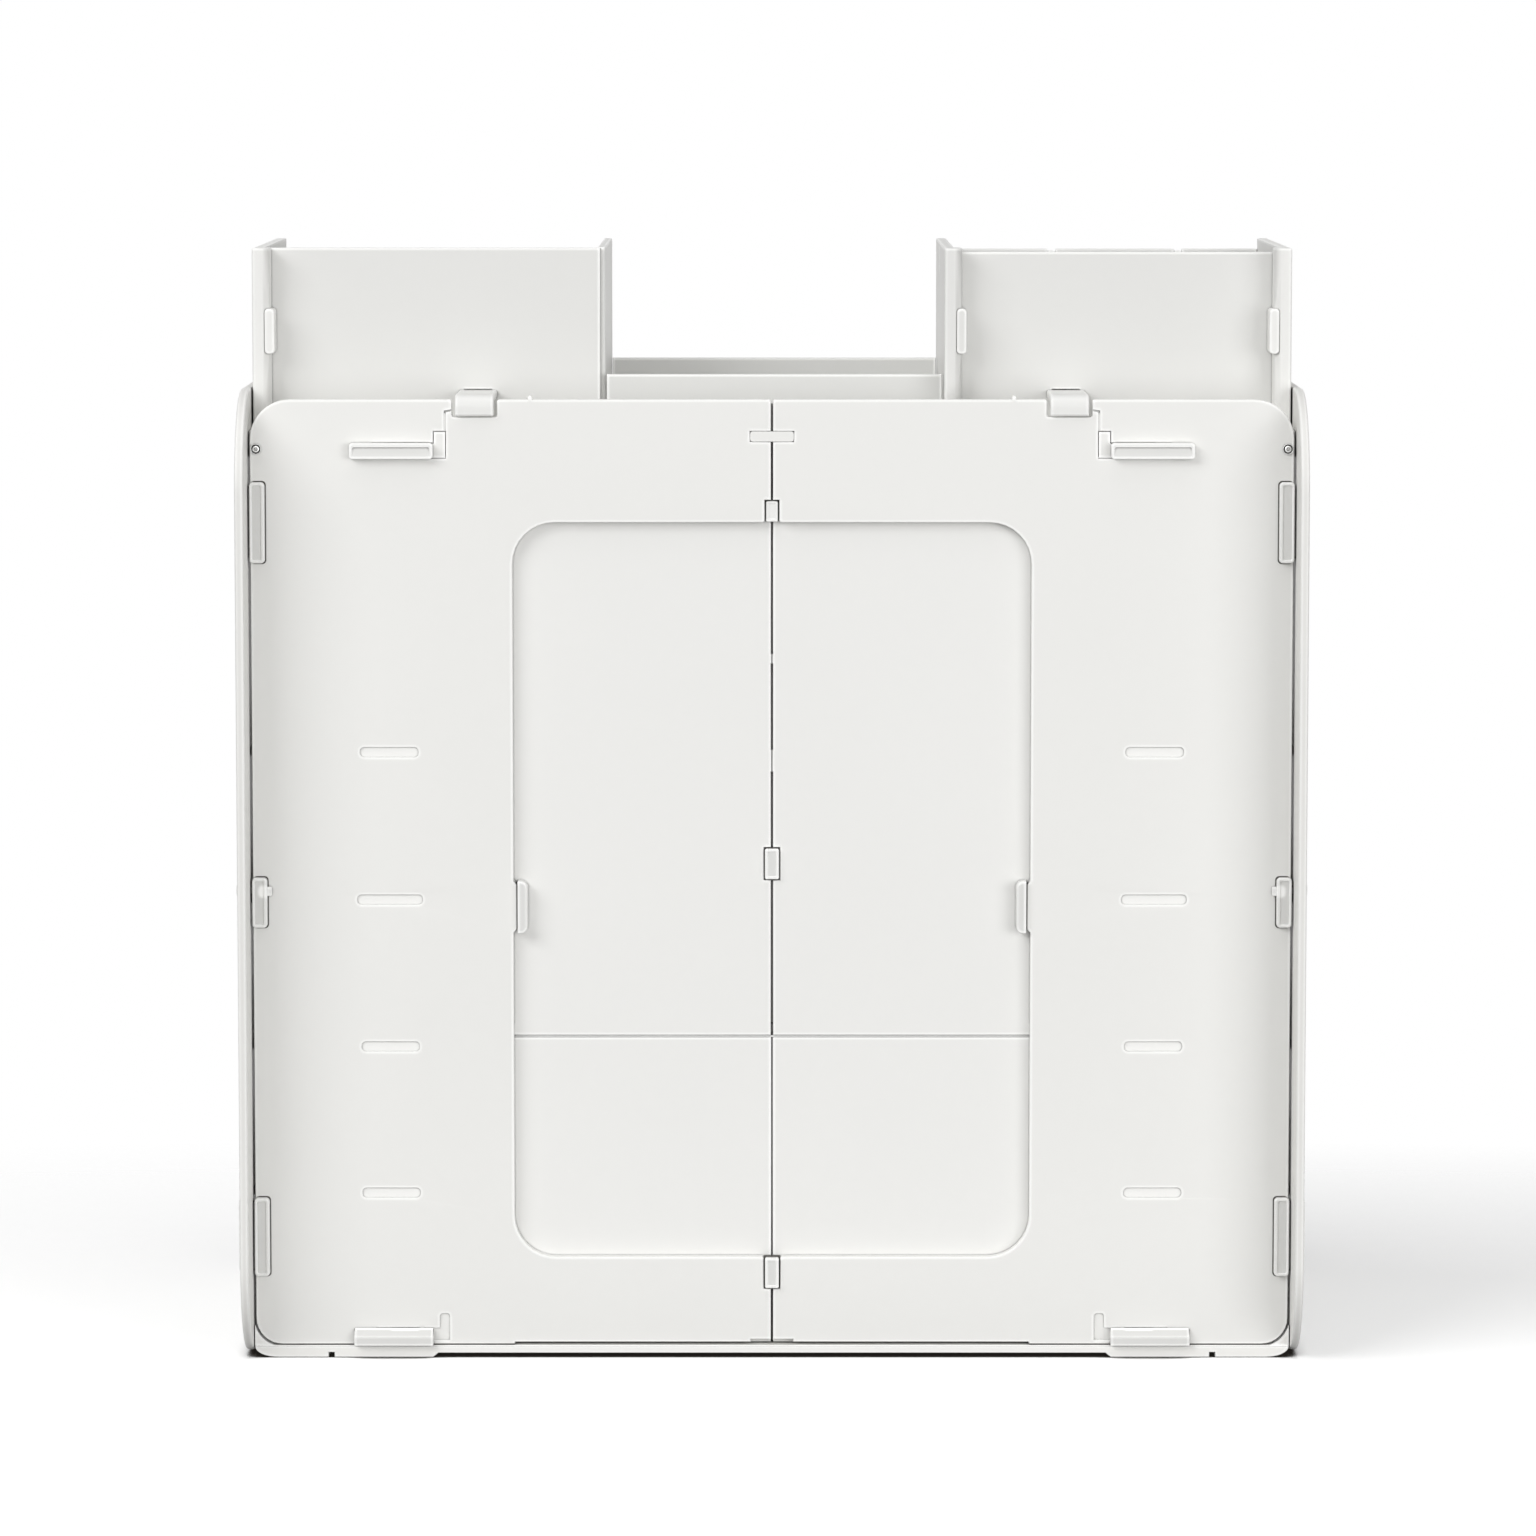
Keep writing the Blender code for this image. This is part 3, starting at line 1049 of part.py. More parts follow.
def caddy_front(side):
    """Front wall of a caddy; the right-hand one is slotted for its dividers."""
    top = CADDY_TOP - CADDY_FRONT_DROP
    slot_bottom = DIVIDER_TOP - DIVIDER_TAB - FIT
    reach = DIVIDER_THICKNESS / 2 + FIT
    inner = room_inner(side)
    corners = [
        (inner, CADDY_BOTTOM, 0.0),
        (CADDY_ROOM_OUTER, CADDY_BOTTOM, 0.0),
        (CADDY_ROOM_OUTER, top, 0.0),
    ]
    if side == RIGHT:
        for offset in reversed(DIVIDER_OFFSETS):
            middle = CADDY_INNER + offset
            corners += [
                (middle + reach, top, 0.0),
                (middle + reach, slot_bottom, 0.0),
                (middle - reach, slot_bottom, 0.0),
                (middle - reach, top, 0.0),
            ]
    corners.append((inner, top, 0.0))
    return solid([outline(corners)], plate_levels(CADDY_FRONT_REAR, CADDY_FAR), back_plane(side))


def caddy_floor(side):
    """Floor of a caddy, between its walls."""
    rim = rectangle(room_inner(side), CADDY_BACK_FRONT + FIT, CADDY_ROOM_OUTER, CADDY_FRONT_REAR - FIT)
    return solid([rim], plate_levels(CADDY_BOTTOM, CADDY_BOTTOM + CADDY_FLOOR), floor_plane(side))


def caddy_divider(side, offset):
    """Divider across a caddy, with a tab in the slot of the front wall."""
    rear = CADDY_BACK_FRONT + FIT
    front = CADDY_FRONT_REAR - FIT
    low = CADDY_BOTTOM + CADDY_FLOOR + FIT
    tab_top = CADDY_TOP - CADDY_FRONT_DROP - DIVIDER_TAB_DROP
    rim = outline([
        (rear, low, 0.0),
        (front, low, 0.0),
        (front, DIVIDER_TOP - DIVIDER_TAB, 0.0),
        (CADDY_FAR, DIVIDER_TOP - DIVIDER_TAB, 0.0),
        (CADDY_FAR, tab_top, 0.0),
        (front, tab_top, 0.0),
        (front, DIVIDER_TOP, 0.0),
        (rear, DIVIDER_TOP, 0.0),
    ])
    start = CADDY_INNER + offset - DIVIDER_THICKNESS / 2
    return solid([rim], plate_levels(start, start + DIVIDER_THICKNESS), side_plane(side))


def tray_wall(rear, height):
    """Low wall between the caddies, with two tabs in slots of the top board."""
    bottom = TOP_BOARD_TOP + FIT
    top = TOP_BOARD_TOP + height
    corners = [(TRAY_LEFT, bottom, 0.0)]
    for middle in TRAY_TABS:
        start = middle - TRAY_TAB_WIDTH / 2
        stop = middle + TRAY_TAB_WIDTH / 2
        corners += [
            (start, bottom, 0.0),
            (start, TOP_BOARD_BOTTOM, 0.0),
            (stop, TOP_BOARD_BOTTOM, 0.0),
            (stop, bottom, 0.0),
        ]
    corners += [(TRAY_RIGHT, bottom, 0.0), (TRAY_RIGHT, top, TRAY_CORNER), (TRAY_LEFT, top, TRAY_CORNER)]
    return solid([outline(corners)], plate_levels(rear, rear + TRAY_WALL, EDGE, EDGE), back_plane())


def build_carcass(body):
    """Everything that stays put when the organizer is used."""
    finish(top_board(), "top_board", PLASTIC, body)
    finish(bottom_board(), "bottom_board", PLASTIC, body)
    finish(mid_shelf(), "mid_shelf", INNER_PLASTIC, body)
    finish(centre_divider(), "centre_divider", INNER_PLASTIC, body)
    finish(tray_wall(TRAY_BACK_REAR, TRAY_BACK_HEIGHT), "tray_back_wall", PLASTIC, body)
    finish(tray_wall(TRAY_FRONT_REAR, TRAY_FRONT_HEIGHT), "tray_front_wall", PLASTIC, body)
    upper_length = SEAM_NOTCH_HEIGHT - FIT
    upper = seam_clip(WINDOW_TOP + upper_length / 2, upper_length, SEAM_NOTCH_WIDTH / 2 - FIT,
                      PANEL_REAR + SEAM_NOTCH_RECESS, PANEL_FRONT)
    middle = seam_clip(SEAM_CLIP_HEIGHT, SEAM_CLIP_LENGTH, SEAM_CLIP_HALF,
                       BEHIND_PANEL - SEAM_CLIP_PROUD, INNER_BACK_FRONT)
    lower = seam_clip(WINDOW_SILL - SEAM_CLIP_LENGTH / 2, SEAM_CLIP_LENGTH, SEAM_CLIP_HALF,
                      PANEL_REAR - SEAM_CLIP_PROUD, PANEL_FRONT)
    finish(upper, "seam_clip_upper", CLIP_PLASTIC, body)
    finish(middle, "seam_clip_middle", CLIP_PLASTIC, body)
    finish(lower, "seam_clip_lower", CLIP_PLASTIC, body)
    for side in (LEFT, RIGHT):
        word = side_name(side)
        finish(side_panel(side), "side_panel_" + word, PLASTIC, body)
        finish(back_panel(side), "back_panel_" + word, PLASTIC, body)
        finish(inner_back(side), "inner_back_" + word, INNER_PLASTIC, body)
        finish(partition(side), "partition_" + word, INNER_PLASTIC, body)
        finish(window_clip(side), "window_clip_" + word, CLIP_PLASTIC, body)
        finish(rear_screw(side), "rear_screw_" + word, STEEL, body)
        finish(side_screw(side), "side_screw_" + word, STEEL, body)
        for number, height, width in shelf_places():
            finish(column_shelf(side, height, width), f"{word}_shelf_{number}", INNER_PLASTIC, body)
        for place in clip_places():
            finish(edge_clip(side, place), f"edge_clip_{word}_{place[0]}", CLIP_PLASTIC, body)


def build_latches(carcass):
    """Four latches that slide outwards along X."""
    for side in (LEFT, RIGHT):
        word = side_name(side)
        middle = side * (LATCH_PLATE_END + LATCH_OUTER) / 2
        low = (BOTTOM_SHANK_BOTTOM + BOTTOM_SHANK_TOP) / 2
        top_slide = empty(f"latch_top_{word}_slide", carcass, (middle, PANEL_REAR, TOP_LATCH_MIDDLE))
        finish(top_latch(side), f"latch_top_{word}", CLIP_PLASTIC, top_slide)
        bottom_slide = empty(f"latch_bottom_{word}_slide", carcass, (middle, PANEL_REAR, low))
        finish(bottom_latch(side), f"latch_bottom_{word}", CLIP_PLASTIC, bottom_slide)


def build_drawers(carcass):
    """Two drawers that slide out of the open front along +Y."""
    for side in (LEFT, RIGHT):
        word = side_name(side)
        middle = side * (SEAM_HALF + PARTITION_INNER) / 2
        slide = empty(f"drawer_{word}_slide", carcass, (middle, BOARD_FRONT, BOTTOM_TOP + FIT))
        finish(drawer(side), "drawer_" + word, INNER_PLASTIC, slide)


def build_caddies(carcass):
    """Two caddies that lift off along +Z."""
    for side in (LEFT, RIGHT):
        word = side_name(side)
        middle = side * (CADDY_INNER + CADDY_OUTER) / 2
        lift = empty(f"caddy_{word}_lift", carcass, (middle, (CADDY_REAR + CADDY_FAR) / 2, CADDY_BOTTOM))
        finish(caddy_back(side), f"{word}_caddy_back", PLASTIC, lift)
        finish(caddy_front(side), f"{word}_caddy_front", PLASTIC, lift)
        finish(caddy_outer_wall(side), f"{word}_caddy_outer_wall", PLASTIC, lift)
        finish(caddy_inner_wall(side), f"{word}_caddy_inner_wall", PLASTIC, lift)
        finish(caddy_floor(side), f"{word}_caddy_floor", PLASTIC, lift)
        finish(caddy_hook(side), f"{word}_caddy_hook", CLIP_PLASTIC, lift)
        if side == RIGHT:
            for number, offset in enumerate(DIVIDER_OFFSETS, start=1):
                finish(caddy_divider(side, offset), f"{word}_caddy_divider_{number}", INNER_PLASTIC, lift)


def main():
    """Clear the scene and build the organizer."""
    for old in list(bpy.data.objects):
        bpy.data.objects.remove(old, do_unlink=True)
    carcass = empty("carcass", None, (0.0, 0.0, 0.0))
    build_carcass(carcass)
    build_latches(carcass)
    build_drawers(carcass)
    build_caddies(carcass)
    bpy.context.view_layer.update()


main()
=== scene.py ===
# %% [markdown]
# # A desktop document organizer, seen from behind
# The packed part comes in first.  It is the fixed frame of the lesson: its boards, clips and
# latches keep their places, and every new surface is worked out around them in the same metres.
# The back faces -Y, the open front faces +Y, and the feet stand on Z = 0.

# %% Load the packed organizer
import json
import math

import bmesh
import bpy
import numpy as np
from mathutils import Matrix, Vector


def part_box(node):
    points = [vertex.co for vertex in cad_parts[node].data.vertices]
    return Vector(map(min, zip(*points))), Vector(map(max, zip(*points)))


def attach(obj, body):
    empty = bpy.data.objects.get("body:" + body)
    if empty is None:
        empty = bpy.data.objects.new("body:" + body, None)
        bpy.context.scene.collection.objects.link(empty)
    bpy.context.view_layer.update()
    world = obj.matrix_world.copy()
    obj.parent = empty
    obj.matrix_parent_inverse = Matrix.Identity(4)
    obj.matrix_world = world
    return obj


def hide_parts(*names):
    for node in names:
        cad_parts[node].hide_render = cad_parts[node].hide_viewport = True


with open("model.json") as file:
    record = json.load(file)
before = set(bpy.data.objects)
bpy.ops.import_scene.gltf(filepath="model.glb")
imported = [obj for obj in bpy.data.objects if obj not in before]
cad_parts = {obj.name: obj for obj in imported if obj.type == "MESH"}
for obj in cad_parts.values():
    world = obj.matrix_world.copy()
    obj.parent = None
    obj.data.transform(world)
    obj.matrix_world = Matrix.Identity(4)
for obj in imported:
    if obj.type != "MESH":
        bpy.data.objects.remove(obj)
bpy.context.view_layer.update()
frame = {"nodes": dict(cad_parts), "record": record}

scene = bpy.context.scene
scene.view_settings.view_transform = "Standard"
MM = 0.001
SIDES = (("left", -1.0), ("right", 1.0))

# %% [markdown]
# ## Camera
# The picture was taken from about three metres behind the organizer with a long lens, a little
# above its top edge, so that upright lines stay upright and the caddies' rims just open up.
# The focal length in pixels fixes the lens, and the tilt is the only turn that is needed.

# %% Camera
IMAGE_PIXELS = 1536
FOCAL_PIXELS = 7000.0
CAMERA_PLACE = (-0.0017, -3.096, 0.570)
CAMERA_TILT = math.radians(5.95)

camera_data = bpy.data.cameras.new("studio_camera")
camera_data.sensor_fit = "HORIZONTAL"
camera_data.sensor_width = 36.0
camera_data.lens = FOCAL_PIXELS / IMAGE_PIXELS * camera_data.sensor_width
camera_data.clip_end = 50.0
camera = bpy.data.objects.new("studio_camera", camera_data)
camera.location = CAMERA_PLACE
camera.rotation_euler = (math.pi / 2 - CAMERA_TILT, 0.0, 0.0)
scene.collection.objects.link(camera)
scene.camera = camera
print("lens", round(camera_data.lens, 1), "mm")

# %% [markdown]
# ## Shader maths
# A finish is easier to read as a formula than as a wall of nodes.  A Wire is one output socket:
# plus, minus, times and divide on Wires add the Math nodes for it, and plain numbers can take part.
# The method node makes every other kind of node, its settings first, then its sockets.  Three
# formulas come up in most finishes, so they have names: a ramp between two values, a noise with so
# many cells to the metre, and the share of open sky over a point.

# %% Shader maths
class Wire:
    """One output socket of a node tree, which takes part in ordinary arithmetic."""

    def __init__(self, tree, socket=None):
        self.tree = tree
        self.socket = socket

    def node(self, kind, settings=None, sockets=None, output=0):
        """Add any node: set its settings, then put numbers or Wires into its sockets."""
        made = self.tree.nodes.new(kind)
        for name, value in (settings or {}).items():
            setattr(made, name, value)
        for name, value in (sockets or {}).items():
            if isinstance(value, Wire):
                self.tree.links.new(value.socket, made.inputs[name])
            else:
                made.inputs[name].default_value = value
        return Wire(self.tree, made.outputs[output] if made.outputs else None)

    def maths(self, operation, first, second):
        """One Math node on two values, each a number or a Wire."""
        return self.node("ShaderNodeMath", {"operation": operation}, {0: first, 1: second})

    def __add__(self, other):
        return self.maths("ADD", self, other)

    def __sub__(self, other):
        return self.maths("SUBTRACT", self, other)

    def __rsub__(self, other):
        return self.maths("SUBTRACT", other, self)

    def __mul__(self, other):
        return self.maths("MULTIPLY", self, other)

    def __truediv__(self, other):
        return self.maths("DIVIDE", self, other)

    __radd__ = __add__
    __rmul__ = __mul__

    def within(self):
        """The value held between 0 and 1."""
        return self.node("ShaderNodeClamp", {}, {"Value": self})

    def blend(self, low, high):
        """Colour that goes from low to high as the value goes from 0 to 1."""
        sockets = {"Factor": self, "A": low, "B": high}
        return self.node("ShaderNodeMix", {"data_type": "RGBA"}, sockets, "Result")


def new_finish(name):
    """An empty material and the wire that adds nodes to it."""
    material = bpy.data.materials.new(name)
    material.use_nodes = True
    material.node_tree.nodes.clear()
    return material, Wire(material.node_tree)


def tint(colour, share):
    """A colour with its three parts scaled by a share, as four numbers."""
    return tuple(min(1.0, part * share) for part in colour) + (1.0,)


def ramp(value, start, end):
    """0 where a value has reached start, 1 where it has reached end, and straight between them."""
    return ((value - start) / (end - start)).within()


def noise(wire, place, cells, detail):
    """Noise from 0 to 1 over a place, with so many cells to the metre and so many finer layers."""
    return wire.node("ShaderNodeTexNoise", {}, {"Vector": place, "Scale": cells, "Detail": detail}, "Fac")


def open_sky(wire, reach, samples, inside=False):
    """Share of a point's sky that nothing shuts in within a reach; inside looks into the piece itself."""
    settings = {"samples": samples, "inside": inside, "only_local": inside}
    return wire.node("ShaderNodeAmbientOcclusion", settings, {"Distance": reach}, "AO")


print("besides its arithmetic, a wire has", [name for name in vars(Wire) if not name.startswith("__")])

# %% [markdown]
# ## Moulded plastic
# The boards are moulded in a warm off-white plastic with a spark-eroded, eggshell-matte face.
# Three scales make that up: a slow drift of tone over a hand's breadth, a faint mottle of a few
# millimetres, and a grain finer than half a millimetre that only the highlights show.  Where
# boards almost meet, the gap swallows light, so the finish measures how shut in a point is: it
# paints shade into hollow corners and lets only narrow crevices go dark, a painted shade.  The same
# measure, taken into the board, tells how near an outer edge is, and there the plastic is painted
# paler, a painted highlight.  The inner boards differ a little in tone from the outer ones and the
# hooks are a little darker; the caddies, clips, side boards and tray are painted darker and the
# bottom board paler, as painted shade and light.  Where a key or a drawer is let in closely its
# painted gap shade stays faint.  An image could hold all of this, but the formulas stay sharp at any
# distance and need no unwrapping.

# %% Moulded plastic
# Painted shade in hollow corners and narrow crevices, faint within close fits.
CREVICE_REACH = 1.4 * MM
CORNER_OPEN = 0.74
CORNER_SHUT = 0.44
CORNER_SHADE = 0.55
CREVICE_OPEN = 0.34
CREVICE_SHUT = 0.16
CREVICE_SHADE_DARK = (0.012, 0.009, 0.008, 1.0)
CREVICE_SHADE_PALE = (0.42, 0.41, 0.39, 1.0)
CLOSE_FAINT = 0.72
ZONE_SOFT = 0.8 * MM
# Painted highlight: near an outer edge the plastic is painted paler.
EDGE_REACH = 1.5 * MM
EDGE_FAR = 0.97
EDGE_NEAR = 0.61
EDGE_HIGHLIGHT_PALE = (1.0, 1.0, 0.985, 1.0)
DRIFT_NOISE = (9.0, 2.0)
DRIFT_SHARE = 0.7
MOTTLE_NOISE = (210.0, 3.0)
MOTTLE_RELIEF = 0.35
MOTTLE_SWING = 0.06
GRAIN_NOISE = (1900.0, 2.0)
GRAIN_DEPTH = 0.03 * MM
GRAIN_STRENGTH = 0.35
GRAIN_SWING = 0.12
TONE_LOW = 0.975
TONE_HIGH = 1.02
PLASTIC_INDEX = 1.49
SKY_SAMPLES = 6


def zone(wire, place, low, high):
    """1 where |x| and z of a place lie between two corners, 0 outside, over a soft border."""
    across, up = [wire.node("ShaderNodeSeparateXYZ", {}, {0: place}, axis) for axis in "XZ"]
    across = wire.maths("ABSOLUTE", across, 0.0)
    shares = [ramp(value, bottom, bottom + ZONE_SOFT) * ramp(value, top, top - ZONE_SOFT)
              for value, bottom, top in ((across, low[0], high[0]), (up, low[1], high[1]))]
    return shares[0] * shares[1]


def moulded_plastic(name, colour, face, crevice_shade_tone=CREVICE_SHADE_DARK, close_fit=None, edge_highlight=1.0):
    """Matte moulded plastic: tone = colour scaled by drift and mottle, with painted shade in crevices.

    The face gives the roughness and how strong the grain is.  The grain feeds the bump and swings
    the roughness a little, as an eroded mould does.  A hollow corner gets painted shade by how shut
    in it is, and a narrow gap goes on to its painted crevice shade; within a zone of close fits both
    are faint.  The last argument says how much the edges are painted paler, a painted highlight.
    """
    material, wire = new_finish(name)
    roughness, grain = face
    place = wire.node("ShaderNodeTexCoord", output="Object")
    drift = noise(wire, place, *DRIFT_NOISE)
    mottle = noise(wire, place, *MOTTLE_NOISE)
    fine = noise(wire, place, *GRAIN_NOISE)
    open_share = open_sky(wire, CREVICE_REACH, SKY_SAMPLES)
    # painted shade: hollow corners and narrow crevices are darkened by how shut in they are
    corner = ramp(open_share, CORNER_OPEN, CORNER_SHUT)
    crevice = ramp(open_share, CREVICE_OPEN, CREVICE_SHUT)
    if close_fit:
        faint = 1.0 - CLOSE_FAINT * zone(wire, place, *close_fit)
        corner, crevice = corner * faint, crevice * faint
    # painted highlight: outer edges are painted paler by how near they are
    painted_edge_highlight = ramp(open_sky(wire, EDGE_REACH, SKY_SAMPLES, True), EDGE_FAR, EDGE_NEAR) * edge_highlight
    cloud = drift * DRIFT_SHARE + mottle * (1.0 - DRIFT_SHARE)
    tone = cloud.blend(tint(colour, TONE_LOW), tint(colour, TONE_HIGH))
    wear_and_highlight_tone = painted_edge_highlight.blend(tone, EDGE_HIGHLIGHT_PALE)
    shaded = corner.blend(wear_and_highlight_tone, tint(colour, CORNER_SHADE))
    relief = fine * grain + mottle * MOTTLE_RELIEF
    bump = wire.node("ShaderNodeBump", {}, {
        "Strength": GRAIN_STRENGTH, "Distance": GRAIN_DEPTH, "Height": relief})
    shader = wire.node("ShaderNodeBsdfPrincipled", {}, {
        "Base Color": crevice.blend(shaded, crevice_shade_tone),
        "Roughness": roughness + (fine - 0.5) * GRAIN_SWING + (mottle - 0.5) * MOTTLE_SWING,
        "Normal": bump,
        "IOR": PLASTIC_INDEX})
    wire.node("ShaderNodeOutputMaterial", {}, {"Surface": shader})
    return material


# Painted shade and light: the clip, caddy, side board and tray tones are darker and the foot tone paler
# than the board tone, for how the light falls on those parts; the inner tone differs a little, and the hook
# tone is a little darker.
BODY_TONE = (0.800, 0.797, 0.776)
INNER_TONE = (0.806, 0.803, 0.784)
CLIP_SHADED_TONE = (0.690, 0.689, 0.672)
HOOK_TONE = (0.760, 0.759, 0.742)
CADDY_SHADED_TONE = (0.715, 0.713, 0.695)
SIDE_SHADED_TONE = (0.730, 0.724, 0.702)
TRAY_SHADED_TONE = (0.675, 0.675, 0.657)
FOOT_LIT_TONE = (0.860, 0.852, 0.826)
BOARD_FACE = (0.46, 1.0)
INNER_FACE = (0.50, 1.1)
CLIP_FACE = (0.36, 0.6)
KEY_ZONE = ((1.5 * MM, 381.0 * MM), (147.5 * MM, 410.0 * MM))
KEY_EDGE_HIGHLIGHT = 0.1
DRAWER_ZONE = ((1.5 * MM, 130.0 * MM), (120.0 * MM, 146.0 * MM))
FINISHES = {
    "body_plastic": moulded_plastic("eggshell_board", BODY_TONE, BOARD_FACE),
    "inner_plastic": moulded_plastic("eggshell_inner_board", INNER_TONE, INNER_FACE),
    "clip_plastic": moulded_plastic("satin_clip", CLIP_SHADED_TONE, CLIP_FACE),
}
OWN_FINISHES = {
    "back_panel": moulded_plastic("eggshell_panel", BODY_TONE, BOARD_FACE, close_fit=KEY_ZONE),
    "inner_back": moulded_plastic("eggshell_window_board", INNER_TONE, INNER_FACE, close_fit=DRAWER_ZONE),
    "top_board": moulded_plastic("eggshell_top_board", BODY_TONE, BOARD_FACE, CREVICE_SHADE_PALE),
    "bottom_board": moulded_plastic("eggshell_bottom_board", FOOT_LIT_TONE, BOARD_FACE),
    "drawer": moulded_plastic("eggshell_drawer", INNER_TONE, INNER_FACE, CREVICE_SHADE_PALE),
    "side_panel": moulded_plastic("eggshell_side_board", SIDE_SHADED_TONE, BOARD_FACE),
    "key": moulded_plastic("eggshell_key", BODY_TONE, BOARD_FACE, close_fit=KEY_ZONE, edge_highlight=KEY_EDGE_HIGHLIGHT),
    "hook": moulded_plastic("satin_hook", HOOK_TONE, CLIP_FACE),
    "outer_wall": moulded_plastic("eggshell_outer_wall", BODY_TONE, BOARD_FACE),
    "caddy": moulded_plastic("eggshell_caddy", CADDY_SHADED_TONE, BOARD_FACE),
    "tray": moulded_plastic("eggshell_tray", TRAY_SHADED_TONE, BOARD_FACE),
}

slots = {part["node"]: part["material_slot"] for part in frame["record"]["subparts"]}


def finish_of(node):
    """The finish of a packed node: the first of its own ones, else that of its slot."""
    own = [finish for word, finish in OWN_FINISHES.items() if word in node]
    return own[0] if own else FINISHES[slots[node]]


print("plastic finishes:", sorted(FINISHES), "and", sorted(OWN_FINISHES))

# %% [markdown]
# ## Screw steel
# The small screws are turned steel, nickel-bright on top and worn by the driver, with painted shade
# in their hollows.  Rings from the lathe are a wave of the distance to the screw's axis, but the heads
# are less than five millimetres wide, so a fine noise in the metal does the same job, whichever way a
# screw faces.  The gap in which a clip sits has a finish too: a dark sheet at its bottom, painted shade.

# %% Screw steel
SCRATCH_NOISE = (2600.0, 4.0)
SCRATCH_DEPTH = 0.01 * MM
SCRATCH_STRENGTH = 0.3
SCRATCH_SWING = 0.2
STEEL_ROUGHNESS = 0.22
HAZE_NOISE = (500.0, 2.0)
STEEL_DULL = (0.66, 0.66, 0.65, 1.0)
STEEL_BRIGHT = (0.80, 0.80, 0.79, 1.0)
# Painted shade in the hollows of the screw heads.
STEEL_HOLLOW_SHADE = (0.05, 0.045, 0.04, 1.0)
HOLLOW_SHADE_REACH = 1.2 * MM
HOLLOW_SHADE_OPEN = 0.68
HOLLOW_SHADE_GAIN = 3.0
HOLLOW_SHADE_SAMPLES = 16
# Painted shade in gaps: a dark sheet with a noise.
GAP_SHADE_NOISE = (600.0, 3.0)
GAP_SHADE_DARK = (0.035, 0.031, 0.028, 1.0)
GAP_SHADE_PALE = (0.10, 0.095, 0.088, 1.0)
GAP_SHADE_ROUGHNESS = 0.8
GAP_SHADE_SWING = 0.15


def turned_steel(name):
    """Satin steel: noise scratches swing the roughness, haze dulls the colour, hollows get painted shade.
    """
    material, wire = new_finish(name)
    place = wire.node("ShaderNodeTexCoord", output="Object")
    scratches = noise(wire, place, *SCRATCH_NOISE)
    haze = noise(wire, place, *HAZE_NOISE)
    wear_and_highlight_tone = haze.blend(STEEL_DULL, STEEL_BRIGHT)
    # painted shade: hollows of the head go dark by how shut in they are
    hollow_shade = (HOLLOW_SHADE_GAIN * (HOLLOW_SHADE_OPEN - open_sky(wire, HOLLOW_SHADE_REACH, HOLLOW_SHADE_SAMPLES))).within()
    bump = wire.node("ShaderNodeBump", {}, {
        "Strength": SCRATCH_STRENGTH, "Distance": SCRATCH_DEPTH, "Height": scratches})
    shader = wire.node("ShaderNodeBsdfPrincipled", {}, {
        "Base Color": hollow_shade.blend(wear_and_highlight_tone, STEEL_HOLLOW_SHADE),
        "Roughness": STEEL_ROUGHNESS + scratches * SCRATCH_SWING,
        "Metallic": 1.0,
        "Normal": bump})
    wire.node("ShaderNodeOutputMaterial", {}, {"Surface": shader})
    return material


def painted_gap_shade(name):
    """Dark sheet of painted shade at the bottom of a gap: noise swings it from brown-black to dark grey."""
    material, wire = new_finish(name)
    gap_shade_noise = noise(wire, wire.node("ShaderNodeTexCoord", output="Object"), *GAP_SHADE_NOISE)
    shader = wire.node("ShaderNodeBsdfPrincipled", {}, {
        "Base Color": gap_shade_noise.blend(GAP_SHADE_DARK, GAP_SHADE_PALE),
        "Roughness": GAP_SHADE_ROUGHNESS + gap_shade_noise * GAP_SHADE_SWING})
    wire.node("ShaderNodeOutputMaterial", {}, {"Surface": shader})
    return material


FINISHES["screw_steel"] = turned_steel("turned_steel")
# painted shade: the dark sheet at the bottom of the gaps round clips and plugs
FINISHES["gap"] = painted_gap_shade("painted_gap_shade")
print("finishes:", sorted(FINISHES))

# %% [markdown]
# ## Boards that are carried over
# The boards are already right in the packed part, so they stay.  Their triangles come in loose and
# flat, so each board gets a stack of modifiers: welding joins the triangles, a fine bevel breaks
# the raw edges of the plainly sawn boards, a small node group marks only the truly sharp edges,
# and area-weighted normals keep the flats flat while the rounded rims catch the light.

# %% Boards that are carried over
NEW_PIECES = ("clip", "latch", "hook", "screw", "bottom_board", "mid_shelf", "tray")
SAWN_BOARDS = ("shelf", "partition", "divider", "caddy_front", "caddy_floor", "drawer")
SAWN_ROUND = 0.4 * MM
SAWN_SEGMENTS = 3
SAWN_ANGLE = math.radians(60.0)
SHARP_ANGLE = math.radians(48.0)
WELD_REACH = 0.01 * MM


